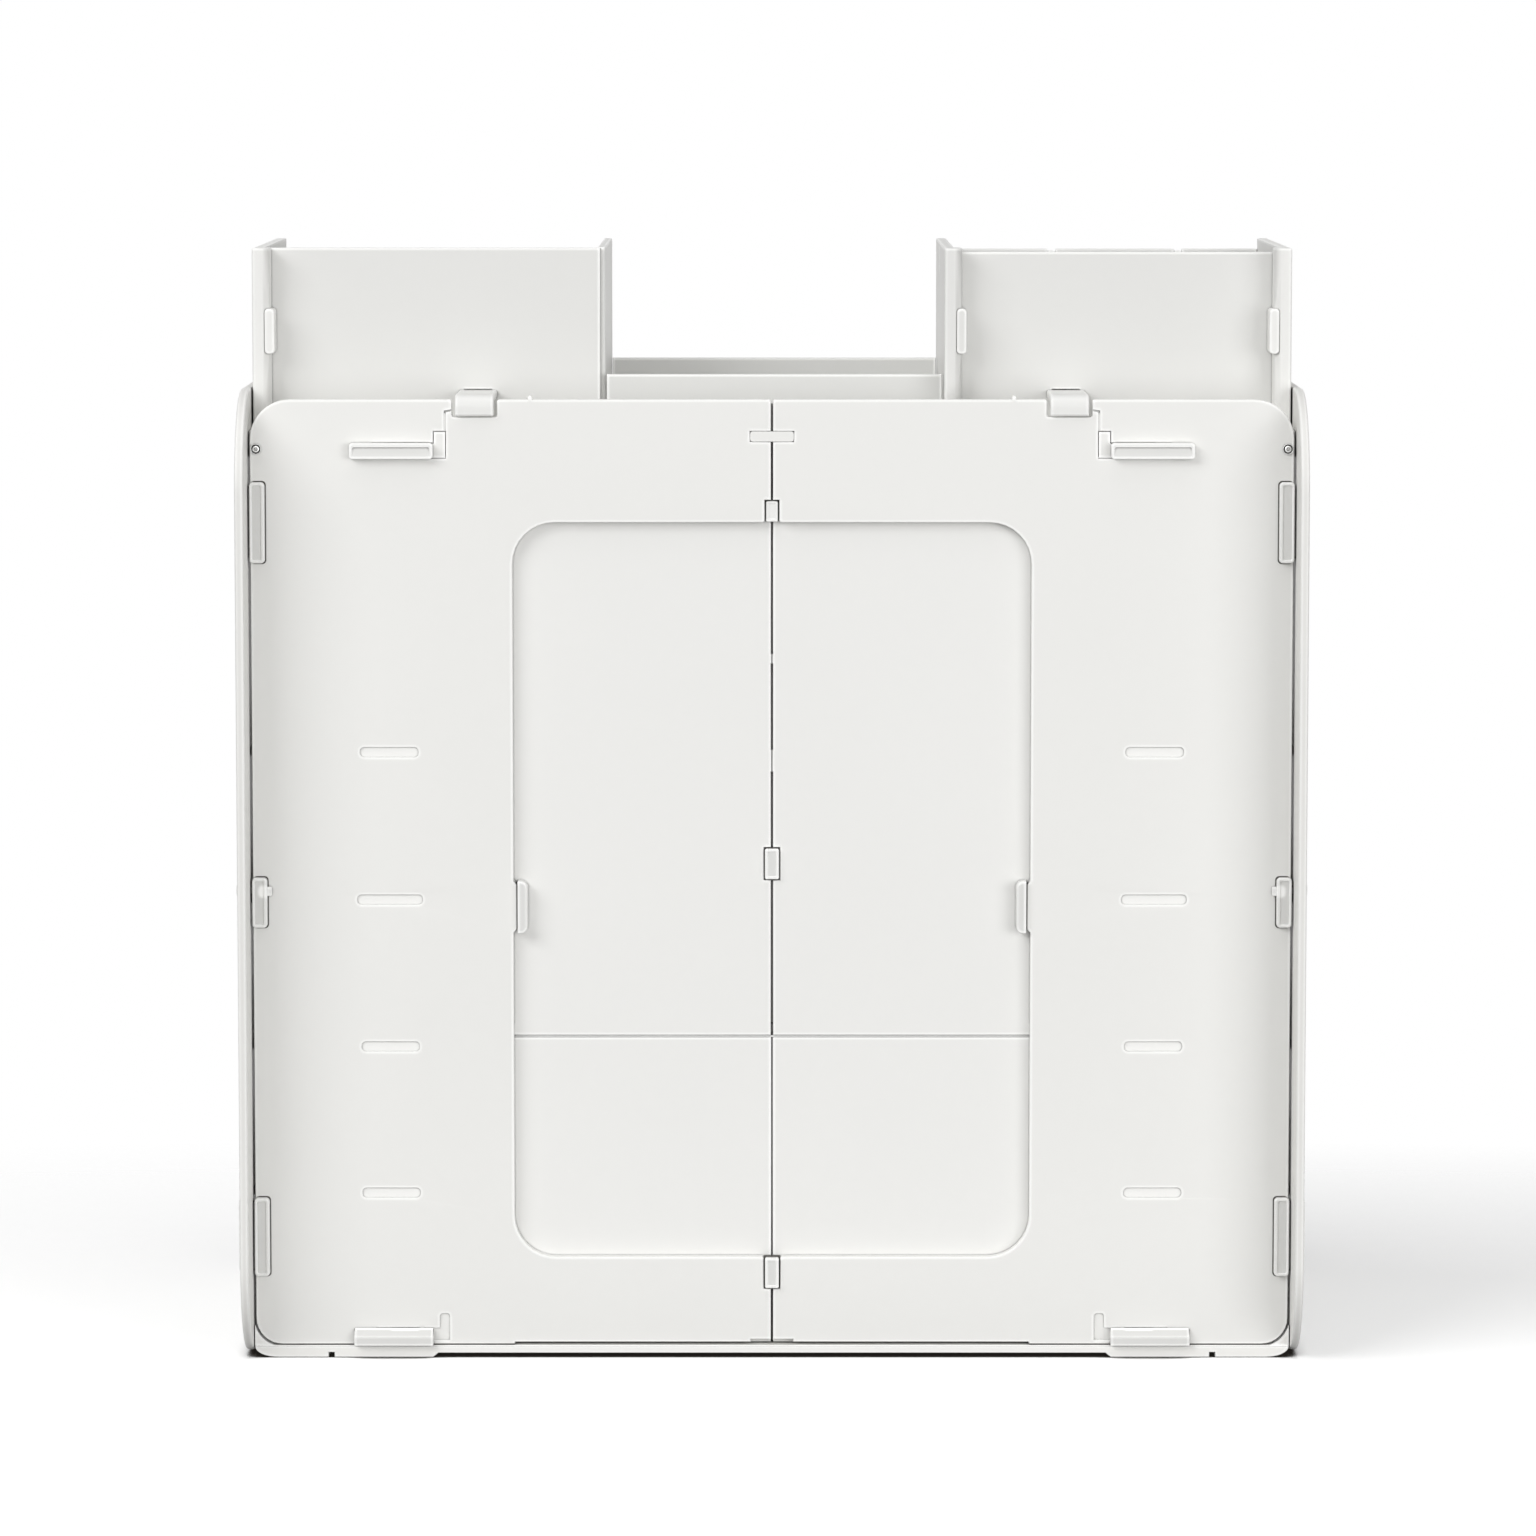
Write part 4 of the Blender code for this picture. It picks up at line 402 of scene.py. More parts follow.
def sharp_edge_group():
    """Node group that marks the edges steeper than SHARP_ANGLE as sharp and frees all other shading."""
    group = bpy.data.node_groups.new("sharp_edges", "GeometryNodeTree")
    group.interface.new_socket("Geometry", in_out="INPUT", socket_type="NodeSocketGeometry")
    group.interface.new_socket("Geometry", in_out="OUTPUT", socket_type="NodeSocketGeometry")
    wire = Wire(group)
    board = wire.node("NodeGroupInput")
    angle = wire.node("GeometryNodeInputMeshEdgeAngle", output="Unsigned Angle")
    sharp = wire.node("FunctionNodeCompare", {"operation": "GREATER_THAN"}, {"A": angle, "B": SHARP_ANGLE})
    shaded = wire.node("GeometryNodeSetMeshNormal", {"mode": "SHARPNESS"}, {
        "Mesh": board, "Remove Custom": True, "Edge Sharpness": sharp, "Face Sharpness": False})
    wire.node("NodeGroupOutput", {}, {"Geometry": shaded})
    return group


sharp_edges = sharp_edge_group()


def dress_board(board, round_width):
    """Weld, round the raw edges by a width, mark sharp edges and weight the normals of one board."""
    board.modifiers.new("weld", "WELD").merge_threshold = WELD_REACH
    if round_width:
        bevel = board.modifiers.new("broken_edges", "BEVEL")
        bevel.width = round_width
        bevel.segments = SAWN_SEGMENTS
        bevel.limit_method = "ANGLE"
        bevel.angle_limit = SAWN_ANGLE
    board.modifiers.new("sharp_edges", "NODES").node_group = sharp_edges
    board.modifiers.new("flat_faces", "WEIGHTED_NORMAL").keep_sharp = True


boards = [name for name in frame["nodes"] if not any(word in name for word in NEW_PIECES)]
for name in boards:
    board = frame["nodes"][name]
    board.data.materials.clear()
    board.data.materials.append(finish_of(name))
    dress_board(board, SAWN_ROUND * any(word in name for word in SAWN_BOARDS))
print(len(boards), "boards carried over")

# %% [markdown]
# ## Surfaces from a rim and its levels
# Every small moulded piece here is an outline carried through levels.  The outline is a polygon
# whose corners become arcs, worked out for all corners at once, and each of its points knows which
# way is out.  A level says how far the outline is drawn in and at which height it lies, so a
# quarter-round edge is a few levels along a quarter circle.  Extruding and bevelling in the
# modeller would do too, but here every radius is a number that can be read off.

# %% Surfaces from a rim and its levels
ARC_STEPS = 7
FILLET_STEPS = 6
HOLLOW_INSETS = np.array([0.0, 0.08, 0.22, 0.36, 0.46]) * MM
HOLLOW_SHARES = np.array([0.0, 0.12, 0.55, 0.90, 1.0])


def unit(vectors):
    """Rows of vectors drawn to the length 1."""
    return vectors / np.linalg.norm(vectors, axis=1, keepdims=True)


def ways(corners):
    """Corners as an array, with the unit ways from each to the one before and to the one after it."""
    corners = np.asarray(corners, float)
    before, after = [unit(np.roll(corners, shift, axis=0) - corners) for shift in (1, -1)]
    return corners, before, after


def soft_polygon(corners, radii):
    """Counter-clockwise polygon with each corner turned into an arc; returns points and outward normals.

    The arc's centre lies on the corner's bisector at radius / sin(half angle), and the arc sweeps
    from the foot on one side to the foot on the other; where the corner is hollow, out is inwards.
    """
    corners, before, after = ways(corners)
    radii = np.broadcast_to(np.asarray(radii, float), len(corners))
    half = np.arccos(np.clip((before * after).sum(1), -1.0, 1.0)) / 2
    centre = corners + unit(before + after) * (radii / np.sin(half))[:, None]
    first = corners + before * (radii / np.tan(half))[:, None] - centre
    last = corners + after * (radii / np.tan(half))[:, None] - centre
    start = np.arctan2(first[:, 1], first[:, 0])
    turn = np.arctan2(first[:, 0] * last[:, 1] - first[:, 1] * last[:, 0], (first * last).sum(1))
    angle = start[:, None] + turn[:, None] * np.linspace(0.0, 1.0, ARC_STEPS + 1)
    arc = np.stack([np.cos(angle), np.sin(angle)], axis=-1)
    points = centre[:, None] + radii[:, None, None] * arc
    normals = np.sign(turn)[:, None, None] * arc
    return points.reshape(-1, 2), normals.reshape(-1, 2)


def mitred_polygon(corners):
    """Counter-clockwise polygon with sharp corners; each normal is so long that all sides move alike.

    It lies on the corner's bisector with the length 1 / sin(half angle), and a hollow corner's is turned.
    """
    corners, before, after = ways(corners)
    side = unit(np.stack([after[:, 1] - before[:, 1], before[:, 0] - after[:, 0]], axis=-1))
    lean = side[:, 0] * after[:, 1] - side[:, 1] * after[:, 0]
    return corners, side / lean[:, None]


def rectangle(u0, u1, v0, v1):
    """Corners of a rectangle, counter-clockwise."""
    return [(u0, v0), (u1, v0), (u1, v1), (u0, v1)]


def rounded_levels(start, end, start_fillet, end_fillet):
    """(inset, height) rows from start to end; a fillet f adds inset f(1 - sin t), height f(1 - cos t)."""
    turn = np.linspace(0.0, np.pi / 2, FILLET_STEPS + 1)
    toward = np.sign(end - start)
    inset, climb = 1 - np.sin(turn), toward * (1 - np.cos(turn))
    rise = np.stack([start_fillet * inset, start + start_fillet * climb], axis=1)
    fall = np.stack([end_fillet * inset, end - end_fillet * climb], axis=1)
    return np.concatenate([rise, fall[::-1]])


def carried(outline, levels):
    """Rings (rows, columns, 3) of an outline carried through levels: point - inset * normal, height."""
    points, normals = outline
    flat = points[None] - levels[:, 0, None, None] * normals[None]
    height = np.broadcast_to(levels[:, 1, None, None], flat.shape[:2] + (1,))
    return np.concatenate([flat, height], axis=-1)


def soft_bar(across, along, radii, start, end, start_fillet=0.0, end_fillet=0.0):
    """Rings of a bar: a rectangle of two spans with soft corners, carried from start to end."""
    rim = soft_polygon(rectangle(*across, *along), radii)
    return carried(rim, rounded_levels(start, end, start_fillet, end_fillet))


def about(middle, reach):
    """Span that goes as far to one side of its middle as to the other."""
    return middle - reach, middle + reach


def rimmed(rings, hollow, sink, tilt=0.0):
    """Rings closed by a hollow: its rim lies on the last level, its floor is sunk and may be tilted.

    With a tilt of 1 the floor is deepest along the upper edge and comes out flush at the lower one.
    """
    points, normals = hollow
    top = rings[-1, 0, 2]
    inward = np.sign(rings[0, 0, 2] - top)
    share = (points[:, 1] - points[:, 1].min()) / np.ptp(points[:, 1])
    depth = sink * (1 - tilt + tilt * share)
    flat = points[None] - HOLLOW_INSETS[:, None, None] * normals[None]
    height = top + inward * HOLLOW_SHARES[:, None] * depth[None]
    return np.concatenate([rings, np.concatenate([flat, height[..., None]], axis=-1)])


def rear_view(rings, side=1.0):
    """Outline in X and Z, heights along Y; a left-hand piece is mirrored in X."""
    return np.stack([side * rings[..., 0], rings[..., 2], rings[..., 1]], axis=-1)


def side_view(rings, side=1.0):
    """Outline in Y and Z, heights outwards along X."""
    return np.stack([side * rings[..., 2], rings[..., 0], rings[..., 1]], axis=-1)


def plan_view(rings, side=1.0):
    """Outline in X and Y, heights up along Z."""
    return np.stack([side * rings[..., 0], rings[..., 1], rings[..., 2]], axis=-1)


test_bar = soft_bar((0.0, 2.0), (0.0, 1.0), 0.2, 0.0, 1.0, 0.0, 0.1)
print("a test bar has", test_bar.shape[0], "rows of", test_bar.shape[1], "points")

# %% [markdown]
# ## From rings to pieces
# A stack of rings becomes a closed skin of quads with a flat cap at each end.  Several skins can
# share one mesh, as a clip's head and tongue do.  Each piece rides on the body that carries it and
# hides the packed solid in the same place; only a cover that is fitted over a board hides nothing.
# Each piece rides on the body that carries it and stands for the packed solid in the same place,
# which keeps its work in collisions; only a cover that is fitted over a board stands for nothing.

# %% From rings to pieces
MERGE_REACH = 0.001 * MM


def skin(rings):
    """Points and faces of closed rings: a cell joins two neighbours of two rows, and two caps close it."""
    rows, columns = rings.shape[:2]
    row, column = np.meshgrid(np.arange(rows - 1), np.arange(columns), indexing="ij")
    ahead = (column + 1) % columns
    quads = np.stack([row * columns + column, row * columns + ahead,
                      (row + 1) * columns + ahead, (row + 1) * columns + column], axis=-1)
    caps = [np.arange(columns)[::-1].tolist(), np.arange((rows - 1) * columns, rows * columns).tolist()]
    return rings.reshape(-1, 3), quads.reshape(-1, 4).tolist() + caps


def make_piece(name, node, body, stacks, gaps=(), stands_for=True):
    """One object from stacks of rings: skinned, turned outwards, shaded and put in place of a packed node.

    The last stacks may be the bottoms of gaps, which get the dark gap finish, a painted shade.  A cover
    only takes its finish from the node it is fitted over and doesn't stand for it.
    """
    points = []
    faces = []
    kinds = []
    for kind, rings in [(0, rings) for rings in stacks] + [(1, rings) for rings in gaps]:
        skin_points, skin_faces = skin(rings)
        start = sum(len(part) for part in points)
        points.append(skin_points)
        faces += [[start + index for index in face] for face in skin_faces]
        kinds += [kind] * len(skin_faces)
    mesh = bpy.data.meshes.new(name)
    mesh.from_pydata(np.concatenate(points).tolist(), [], faces)
    mesh.polygons.foreach_set("material_index", kinds)
    shell = bmesh.new()
    shell.from_mesh(mesh)
    bmesh.ops.remove_doubles(shell, verts=shell.verts, dist=MERGE_REACH)
    bmesh.ops.recalc_face_normals(shell, faces=shell.faces)
    shell.to_mesh(mesh)
    shell.free()
    mesh.shade_smooth()
    mesh.set_sharp_from_angle(angle=SHARP_ANGLE)
    mesh.materials.append(finish_of(node))
    if gaps:
        mesh.materials.append(FINISHES["gap"])
    made = bpy.data.objects.new(name, mesh)
    scene.collection.objects.link(made)
    made.modifiers.new("flat_faces", "WEIGHTED_NORMAL").keep_sharp = True
    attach(made, body)
    if stands_for:
        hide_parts(node)
    return made


def spans(node):
    """(low, high) of a packed node along |x|, y and z, as if it stood on the right."""
    low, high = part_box(node)
    across = sorted((abs(low.x), abs(high.x)))
    return across, (low.y, high.y), (low.z, high.z)


PANEL_OUTER = spans("back_panel_right")[0][1]
PANEL_REAR, PANEL_FRONT = spans("back_panel_right")[1]
FIT = 0.3 * MM
SOFT = 0.25 * MM
SEAT = PANEL_REAR - FIT
# The top board's box includes its lip, so its upper face is found from the floor that lies on it.
TOP_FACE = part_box("left_caddy_floor")[0].z - FIT
PLACES = ("upper", "middle", "lower")
print("panel edge at", round(PANEL_OUTER / MM, 1), "mm, rear face at", round(PANEL_REAR / MM, 1), "mm")

# %% [markdown]
# ## Edge clips
# Six clips tie the back panel to the side boards.  Each shows a soft, bar-shaped head that just
# overhangs the panel's edge; a leg drops into a notch and a tongue runs on into the side board.
# The head is a rounded rectangle with a raised rim round a sunk face, because that rim, with the
# painted edge highlight on it, is what draws the bright outline round every clip.  The rim is broader
# on the side towards the panel, and a hair-wide dark gap runs round the head where it is let into
# the panel: a dark sheet at its bottom paints the gap's shade.

# %% Edge clips
CLIP_WIDTH = 6.3 * MM
CLIP_CORNER = 1.7 * MM
CLIP_FILLET = 0.7 * MM
CLIP_OVERHANG = 0.3 * MM
CLIP_RIM = (1.35 * MM, 0.85 * MM, 1.15 * MM)
CLIP_HOLLOW = 0.55 * MM
CLIP_GAP = 0.45 * MM
CLIP_LEG = 2.4 * MM
CLIP_SHOULDER = 2.0 * MM
TONGUE_REAR = PANEL_REAR + 1.6 * MM
TONGUE_FRONT = TONGUE_REAR + 2.0 * MM
PEG_RISE = 4.9 * MM
PEG_REACH = 2.0 * MM
LEG_CORNER = 0.1 * MM
NUB_CORNER = 0.75 * MM
GAP_OFF_PANEL = 0.02 * MM
GAP_OFF_HEAD = 0.08 * MM


def edge_clip(word, side, place):
    """Head, leg and tongue of one edge clip; the middle one has a short peg and a nub."""
    node = f"edge_clip_{word}_{place}"
    (inner, outer), (rear, _), (low, high) = spans(node)
    head_inner, head_outer = PANEL_OUTER - CLIP_WIDTH, PANEL_OUTER + CLIP_OVERHANG
    head = soft_bar((head_inner, head_outer), (low, high), CLIP_CORNER, SEAT, rear, 0.0, CLIP_FILLET)
    hollow = soft_polygon(rectangle(head_inner + CLIP_RIM[0], head_outer - CLIP_RIM[1],
                                    low + CLIP_RIM[2], high - CLIP_RIM[2]), CLIP_CORNER - CLIP_FILLET)
    middle = (low + high) / 2 + (PEG_RISE if place == "middle" else 0.0)
    reach = PEG_REACH if place == "middle" else (high - low) / 2 - CLIP_SHOULDER
    leg = [(PANEL_OUTER - CLIP_LEG, SEAT - SOFT), (PANEL_OUTER - 2 * SOFT, SEAT - SOFT),
           (PANEL_OUTER - 2 * SOFT, TONGUE_REAR), (outer, TONGUE_REAR),
           (outer, TONGUE_FRONT), (PANEL_OUTER - CLIP_LEG, TONGUE_FRONT)]
    levels = rounded_levels(*about(middle, reach), SOFT, SOFT)
    tongue = carried(soft_polygon(leg, LEG_CORNER), levels)
    stacks = [rear_view(rimmed(head, hollow, CLIP_HOLLOW), side), plan_view(tongue, side)]
    if place == "middle":
        nub = soft_bar((inner, PANEL_OUTER - CLIP_WIDTH / 2), about(middle, reach), NUB_CORNER,
                       SEAT - FIT, rear + CLIP_FILLET, 0.0, 2 * SOFT)
        stacks.append(rear_view(nub, side))
    # painted shade: a dark sheet at the bottom of the gap round the head
    gap = soft_bar((head_inner - CLIP_GAP, PANEL_OUTER - SOFT), (low - CLIP_GAP, high + CLIP_GAP),
                   CLIP_CORNER, PANEL_REAR - GAP_OFF_PANEL, SEAT + GAP_OFF_HEAD)
    return make_piece(f"{word}_{place}_edge_clip", node, "carcass", stacks, [rear_view(gap, side)])


edge_clips = [edge_clip(word, side, place) for word, side in SIDES for place in PLACES]
print(len(edge_clips), "edge clips")

# %% [markdown]
# ## Window clips
# Two clips stand on the board behind the window and press the window's edge from inside.  They
# stand out most: their free edge is a large quarter round with round ends, which makes a D in the
# rear view, and a stem runs through the board behind.  For the quarter round the bar's rear points
# are pushed forward by the fillet times one minus the square root of one minus the slope squared.

# %% Window clips
WINDOW_STEM = (1.2 * MM, 5.75 * MM)
WINDOW_FILLET = 1.5 * MM
WINDOW_CORNER = 3.2 * MM
WINDOW_EDGE = 0.5 * MM


def window_clip(word, side):
    """Soft bar beside the window's edge with a stem through the board behind it."""
    node = f"window_clip_{word}"
    (inner, outer), (rear, stem_end), (low, high) = spans(node)
    radii = (WINDOW_CORNER, WINDOW_EDGE, WINDOW_EDGE, WINDOW_CORNER)
    head = soft_bar((inner, outer), (low, high), radii, PANEL_FRONT, rear, 0.0, WINDOW_EDGE)
    stem = soft_bar(about((inner + outer) / 2, WINDOW_STEM[0]), about((low + high) / 2, WINDOW_STEM[1]),
                    SOFT, PANEL_FRONT - 2 * SOFT, stem_end, 0.0, SOFT)
    slope = np.clip((WINDOW_FILLET - (head[..., 0] - inner)) / WINDOW_FILLET, 0.0, 1.0)
    near = np.clip((head[..., 2] - PANEL_FRONT) / (rear - PANEL_FRONT), 0.0, 1.0)
    head[..., 2] += (1.0 - np.sqrt(1.0 - slope ** 2)) * WINDOW_FILLET * near
    stacks = [rear_view(head, side), rear_view(stem, side)]
    return make_piece(f"{word}_window_clip", node, "carcass", stacks)


window_clips = [window_clip(word, side) for word, side in SIDES]
print(len(window_clips), "window clips")

# %% [markdown]
# ## Seam plugs and key covers
# Three plugs close the seam between the halves.  They are small rimmed bars like the edge clips,
# and a dark gap runs round them, with a dark sheet of painted shade at its bottom; the upper one
# stands at the window's edge, so its gap ends above its foot.  The top board's key and the grooves
# beside its tabs are fitted so closely that flush covers over them show it best: they leave only a
# faint outline in the panel.

# %% Seam plugs and key covers
PLUG_CORNER = 0.8 * MM
PLUG_FILLET = 0.5 * MM
PLUG_GAP = 0.2 * MM
PLUG_RIM = 1.0 * MM
PLUG_HOLLOW = 0.3 * MM
GAP_REACH = FIT - 0.05 * MM
GAP_SUNK = 1.0 * MM
COVER_REACH = 9.4 * MM
COVER_MARGIN = 0.2 * MM
COVER_CORNER = 1.3 * MM
COVER_FILLET = 0.15 * MM
COVER_SUNK = 0.05 * MM
GROOVE_ACROSS = (139.95 * MM, 140.65 * MM)
GROOVE_UP = (TOP_FACE + 0.4 * MM, TOP_FACE + 8.1 * MM)
GROOVE_FILLET = 0.1 * MM
GROOVE_DEPTH = 3.0 * MM


def seam_plug(place):
    """Rimmed plug on the seam, as deep as its packed solid and a hair smaller all round."""
    node = f"seam_clip_{place}"
    low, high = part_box(node)
    x0, x1, z0, z1 = low.x + PLUG_GAP, high.x - PLUG_GAP, low.z + PLUG_GAP, high.z - PLUG_GAP
    head = soft_bar((x0, x1), (z0, z1), PLUG_CORNER, high.y, low.y, SOFT, PLUG_FILLET)
    hollow = soft_polygon(rectangle(x0 + PLUG_RIM, x1 - PLUG_RIM, z0 + PLUG_RIM, z1 - PLUG_RIM),
                          PLUG_CORNER)
    foot = z0 + SOFT if place == "upper" else low.z - GAP_REACH
    # painted shade: a dark sheet at the bottom of the gap round the plug
    gap = soft_bar((low.x - GAP_REACH, high.x + GAP_REACH), (foot, high.z + GAP_REACH), SOFT,
                   high.y - GAP_SUNK, (low.y + high.y) / 2)
    plug = rear_view(rimmed(head, hollow, PLUG_HOLLOW))
    return make_piece(f"{place}_seam_plug", node, "carcass", [plug], [rear_view(gap)])


def key_covers():
    """Flush cover over the key of the top board and strips in the grooves beside its tabs.

    The tray wall's tabs end at the board's underside, so they tell how far down the key reaches.
    """
    key_up = (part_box("tray_back_wall")[0].z - COVER_MARGIN, TOP_FACE + COVER_MARGIN)
    cover = soft_bar((-COVER_REACH, COVER_REACH), key_up, COVER_CORNER,
                     PANEL_FRONT - SOFT, PANEL_REAR + COVER_SUNK, 0.0, COVER_FILLET)
    strip = soft_bar(GROOVE_ACROSS, GROOVE_UP, SOFT,
                     PANEL_REAR + GROOVE_DEPTH, PANEL_REAR + SOFT, 0.0, GROOVE_FILLET)
    stacks = [rear_view(cover)] + [rear_view(strip, side) for _, side in SIDES]
    made = make_piece("key_covers", "back_panel_right", "carcass", stacks, stands_for=False)
    made.data.materials[0] = OWN_FINISHES["key"]
    return made


seam_plugs = [seam_plug(place) for place in PLACES]
covers = key_covers()
print(len(seam_plugs), "seam plugs and covers of", len(covers.data.polygons), "faces")

# %% [markdown]
# ## Latches
# Four latches slide sideways in slots of the back panel.  The top ones are blocks with a rounded
# rim and a thumb hollow in the face; the bottom ones slope out and down like a small awning.
# Behind the panel each has a shank in the slot and a flange that keeps it there.  The thumb
# hollow's floor is tilted: it is deepest under the upper rim, where a thumb nail catches, and comes
# out at the lower edge, so that the face shades from dark to light on its way down.

# %% Latches
LATCH_CORNER = 1.5 * MM
LATCH_FILLET = 0.4 * MM
LATCH_RIM = (1.2 * MM, 0.5 * MM, 1.65 * MM)
THUMB_HOLLOW = 1.0 * MM
THUMB_TILT = 0.95
TOP_BAR_HEIGHT = 6.9 * MM
SHANK_INNER = 153.5 * MM
SHANK_OUTER = 165.2 * MM
SHANK_MARGIN = 0.4 * MM
FLANGE_MARGIN = 2.0 * MM
FLANGE_THICKNESS = 2.5 * MM
AWNING_SLOPE = 3.5 * MM
AWNING_EDGE = 0.5 * MM
AWNING_END = 0.7 * MM
AWNING_RISE = 2.1 * MM


def latch_root(low, high, flange_front):
    """Shank in the slot and flange behind the panel, as two stacks of rings."""
    flange_rear = flange_front - FLANGE_THICKNESS
    shank = soft_bar((SHANK_INNER, SHANK_OUTER), (low, high), SOFT, SEAT - 2 * SOFT, flange_rear + 2 * SOFT)
    flange = soft_bar((SHANK_INNER, SHANK_OUTER + FLANGE_MARGIN), (low - FLANGE_MARGIN / 2, high), 2 * SOFT,
                      flange_rear, flange_front, SOFT, SOFT)
    return [shank, flange]


def top_latch(word, side):
    """Block with a rounded rim and a tilted thumb hollow."""
    node = f"latch_top_{word}"
    (inner, outer), (rear, front), (_, high) = spans(node)
    low = high - TOP_BAR_HEIGHT
    bar = soft_bar((inner, outer), (low, high), LATCH_CORNER, SEAT, rear, 0.0, LATCH_FILLET)
    hollow = soft_polygon(rectangle(inner + LATCH_RIM[0], outer - LATCH_RIM[0],
                                    low + LATCH_RIM[1], high - LATCH_RIM[2]), LATCH_CORNER - LATCH_FILLET)
    root = latch_root(low + SHANK_MARGIN, high - SHANK_MARGIN, front)
    stacks = [rear_view(rings, side) for rings in [rimmed(bar, hollow, THUMB_HOLLOW, THUMB_TILT)] + root]
    return make_piece(f"{word}_top_latch", node, node, stacks)


def bottom_latch(word, side):
    """Bar whose section slopes down and out from the panel, carried along the panel's foot."""
    node = f"latch_bottom_{word}"
    (inner, outer), (rear, front), (low, high) = spans(node)
    section = [(rear, low), (SEAT, low), (SEAT, high), (rear, high - AWNING_SLOPE)]
    bar = carried(soft_polygon(section, (AWNING_EDGE, SOFT, SOFT, AWNING_EDGE)),
                  rounded_levels(inner, outer, AWNING_END, AWNING_END))
    root = latch_root(low + AWNING_RISE, high - SHANK_MARGIN - FIT, front)
    stacks = [side_view(bar, side)] + [rear_view(rings, side) for rings in root]
    return make_piece(f"{word}_bottom_latch", node, node, stacks)


latches = [make(word, side) for make in (top_latch, bottom_latch) for word, side in SIDES]
print(len(latches), "latches")

# %% [markdown]
# ## Hooks
# Each caddy hangs on a strap that leaves its back wall, bends over the panel's top edge and dips
# into a notch.  Seen from the side the strap is one outline with a large outer bend and a small
# inner one, so the outline is drawn in Y and Z and carried across the strap's width.  The fillets
# at both ends of the carry round off the strap's long edges.

# %% Hooks
HOOK_THICKNESS = 3.4 * MM
HOOK_BEND = 5.5 * MM
HOOK_FILLET = 0.95 * MM
HOOK_TIP = 1.2 * MM
HOOK_HEEL = 1.0 * MM
HOOK_TENON = 5.5 * MM
HOOK_FIT = 0.02 * MM


def hook(word, side):
    """Strap bent over the panel, with a tenon in the caddy's back wall."""
    node = f"{word}_caddy_hook"
    (inner, outer), (rear, tenon_end), (tip, top) = spans(node)
    root = spans(f"{word}_caddy_back")[1][0] - HOOK_FIT
    under = top - HOOK_THICKNESS
    strap = [(root, under), (root, top), (rear, top), (rear, tip), (rear + HOOK_THICKNESS, tip),
             (rear + HOOK_THICKNESS, under)]
    radii = (SOFT, SOFT, HOOK_BEND, HOOK_TIP, HOOK_HEEL, HOOK_BEND - HOOK_THICKNESS)
    bent = carried(soft_polygon(strap, radii), rounded_levels(inner, outer, HOOK_FILLET, HOOK_FILLET))
    tenon = soft_bar(about((inner + outer) / 2, HOOK_TENON), (under, top), SOFT,
                     root - 2 * SOFT, tenon_end, 0.0, SOFT)
    stacks = [side_view(bent, side), rear_view(tenon, side)]
    return make_piece(f"{word}_hook", node, f"caddy_{word}", stacks)


hooks = [hook(word, side) for word, side in SIDES]
print(len(hooks), "hooks")

# %% [markdown]
# ## Screws
# A screw head is a surface of two numbers, the distance from the axis and the turn round it.  The
# profile runs from the middle over the low dome to the rim, under the head and down the shank.  A
# ring is turned into the dome, and in the middle a six-sided recess is pressed into it, so there
# the height also depends on the turn.

# %% Screws
SCREW_HEAD = 2.25 * MM
SCREW_SHANK = 1.0 * MM
SCREW_POINT = 0.6 * MM
SCREW_TURNS = 72
DOME_DROP = 0.3
DOME_ROWS = 44
DOME_SPAN = (0.02, 0.97)
DOME_POWER = 4
RIM_RADII = (1.0, 1.0, 0.96)
RIM_HEIGHTS = (0.55, 0.10, 0.0)
RING_PLACE = 1.72 * MM
RING_WIDTH = 0.24 * MM
RING_DEPTH = 0.8 * MM
RECESS_SIDES = 6
RECESS_REACH = 0.80 * MM
RECESS_SWING = 0.07
RECESS_SOFT = 0.12 * MM
RECESS_DEPTH = 1.1 * MM


def screw_rings(head, length):
    """Rings of a screw along its axis: a dome, minus the turned ring and the recess, then the shank.

    The dome falls by a share of the fourth power of the distance from the axis.  The ring is a bell
    curve round its own distance, and the recess is a smooth step at a reach that swings six times
    round, which makes its outline a soft hexagon.
    """
    radius = np.concatenate([np.linspace(*DOME_SPAN, DOME_ROWS), RIM_RADII]) * SCREW_HEAD
    rise = head * (1 - DOME_DROP * (radius / SCREW_HEAD) ** DOME_POWER)
    rise[DOME_ROWS:] = head * np.array(RIM_HEIGHTS)
    turn = np.linspace(0.0, 2 * np.pi, SCREW_TURNS, endpoint=False)
    across, along = radius[:, None] * np.cos(turn), radius[:, None] * np.sin(turn)
    turned = RING_DEPTH * np.exp(-((radius - RING_PLACE) / RING_WIDTH) ** 2)
    reach = RECESS_REACH * (1 + RECESS_SWING * np.cos(RECESS_SIDES * turn))
    pressed = np.clip((reach - radius[:, None]) / RECESS_SOFT + 0.5, 0.0, 1.0)
    height = (rise - turned)[:, None] - RECESS_DEPTH * pressed
    shank = np.array([[SCREW_SHANK, 0.0], [SCREW_SHANK, SCREW_POINT - length], [SCREW_SHANK / 2, -length]])
    rings = np.stack([across, along, height], axis=-1)
    tail = np.stack([shank[:, :1] * np.cos(turn), shank[:, :1] * np.sin(turn),
                     np.broadcast_to(shank[:, 1:], (len(shank), SCREW_TURNS))], axis=-1)
    return np.concatenate([rings, tail])


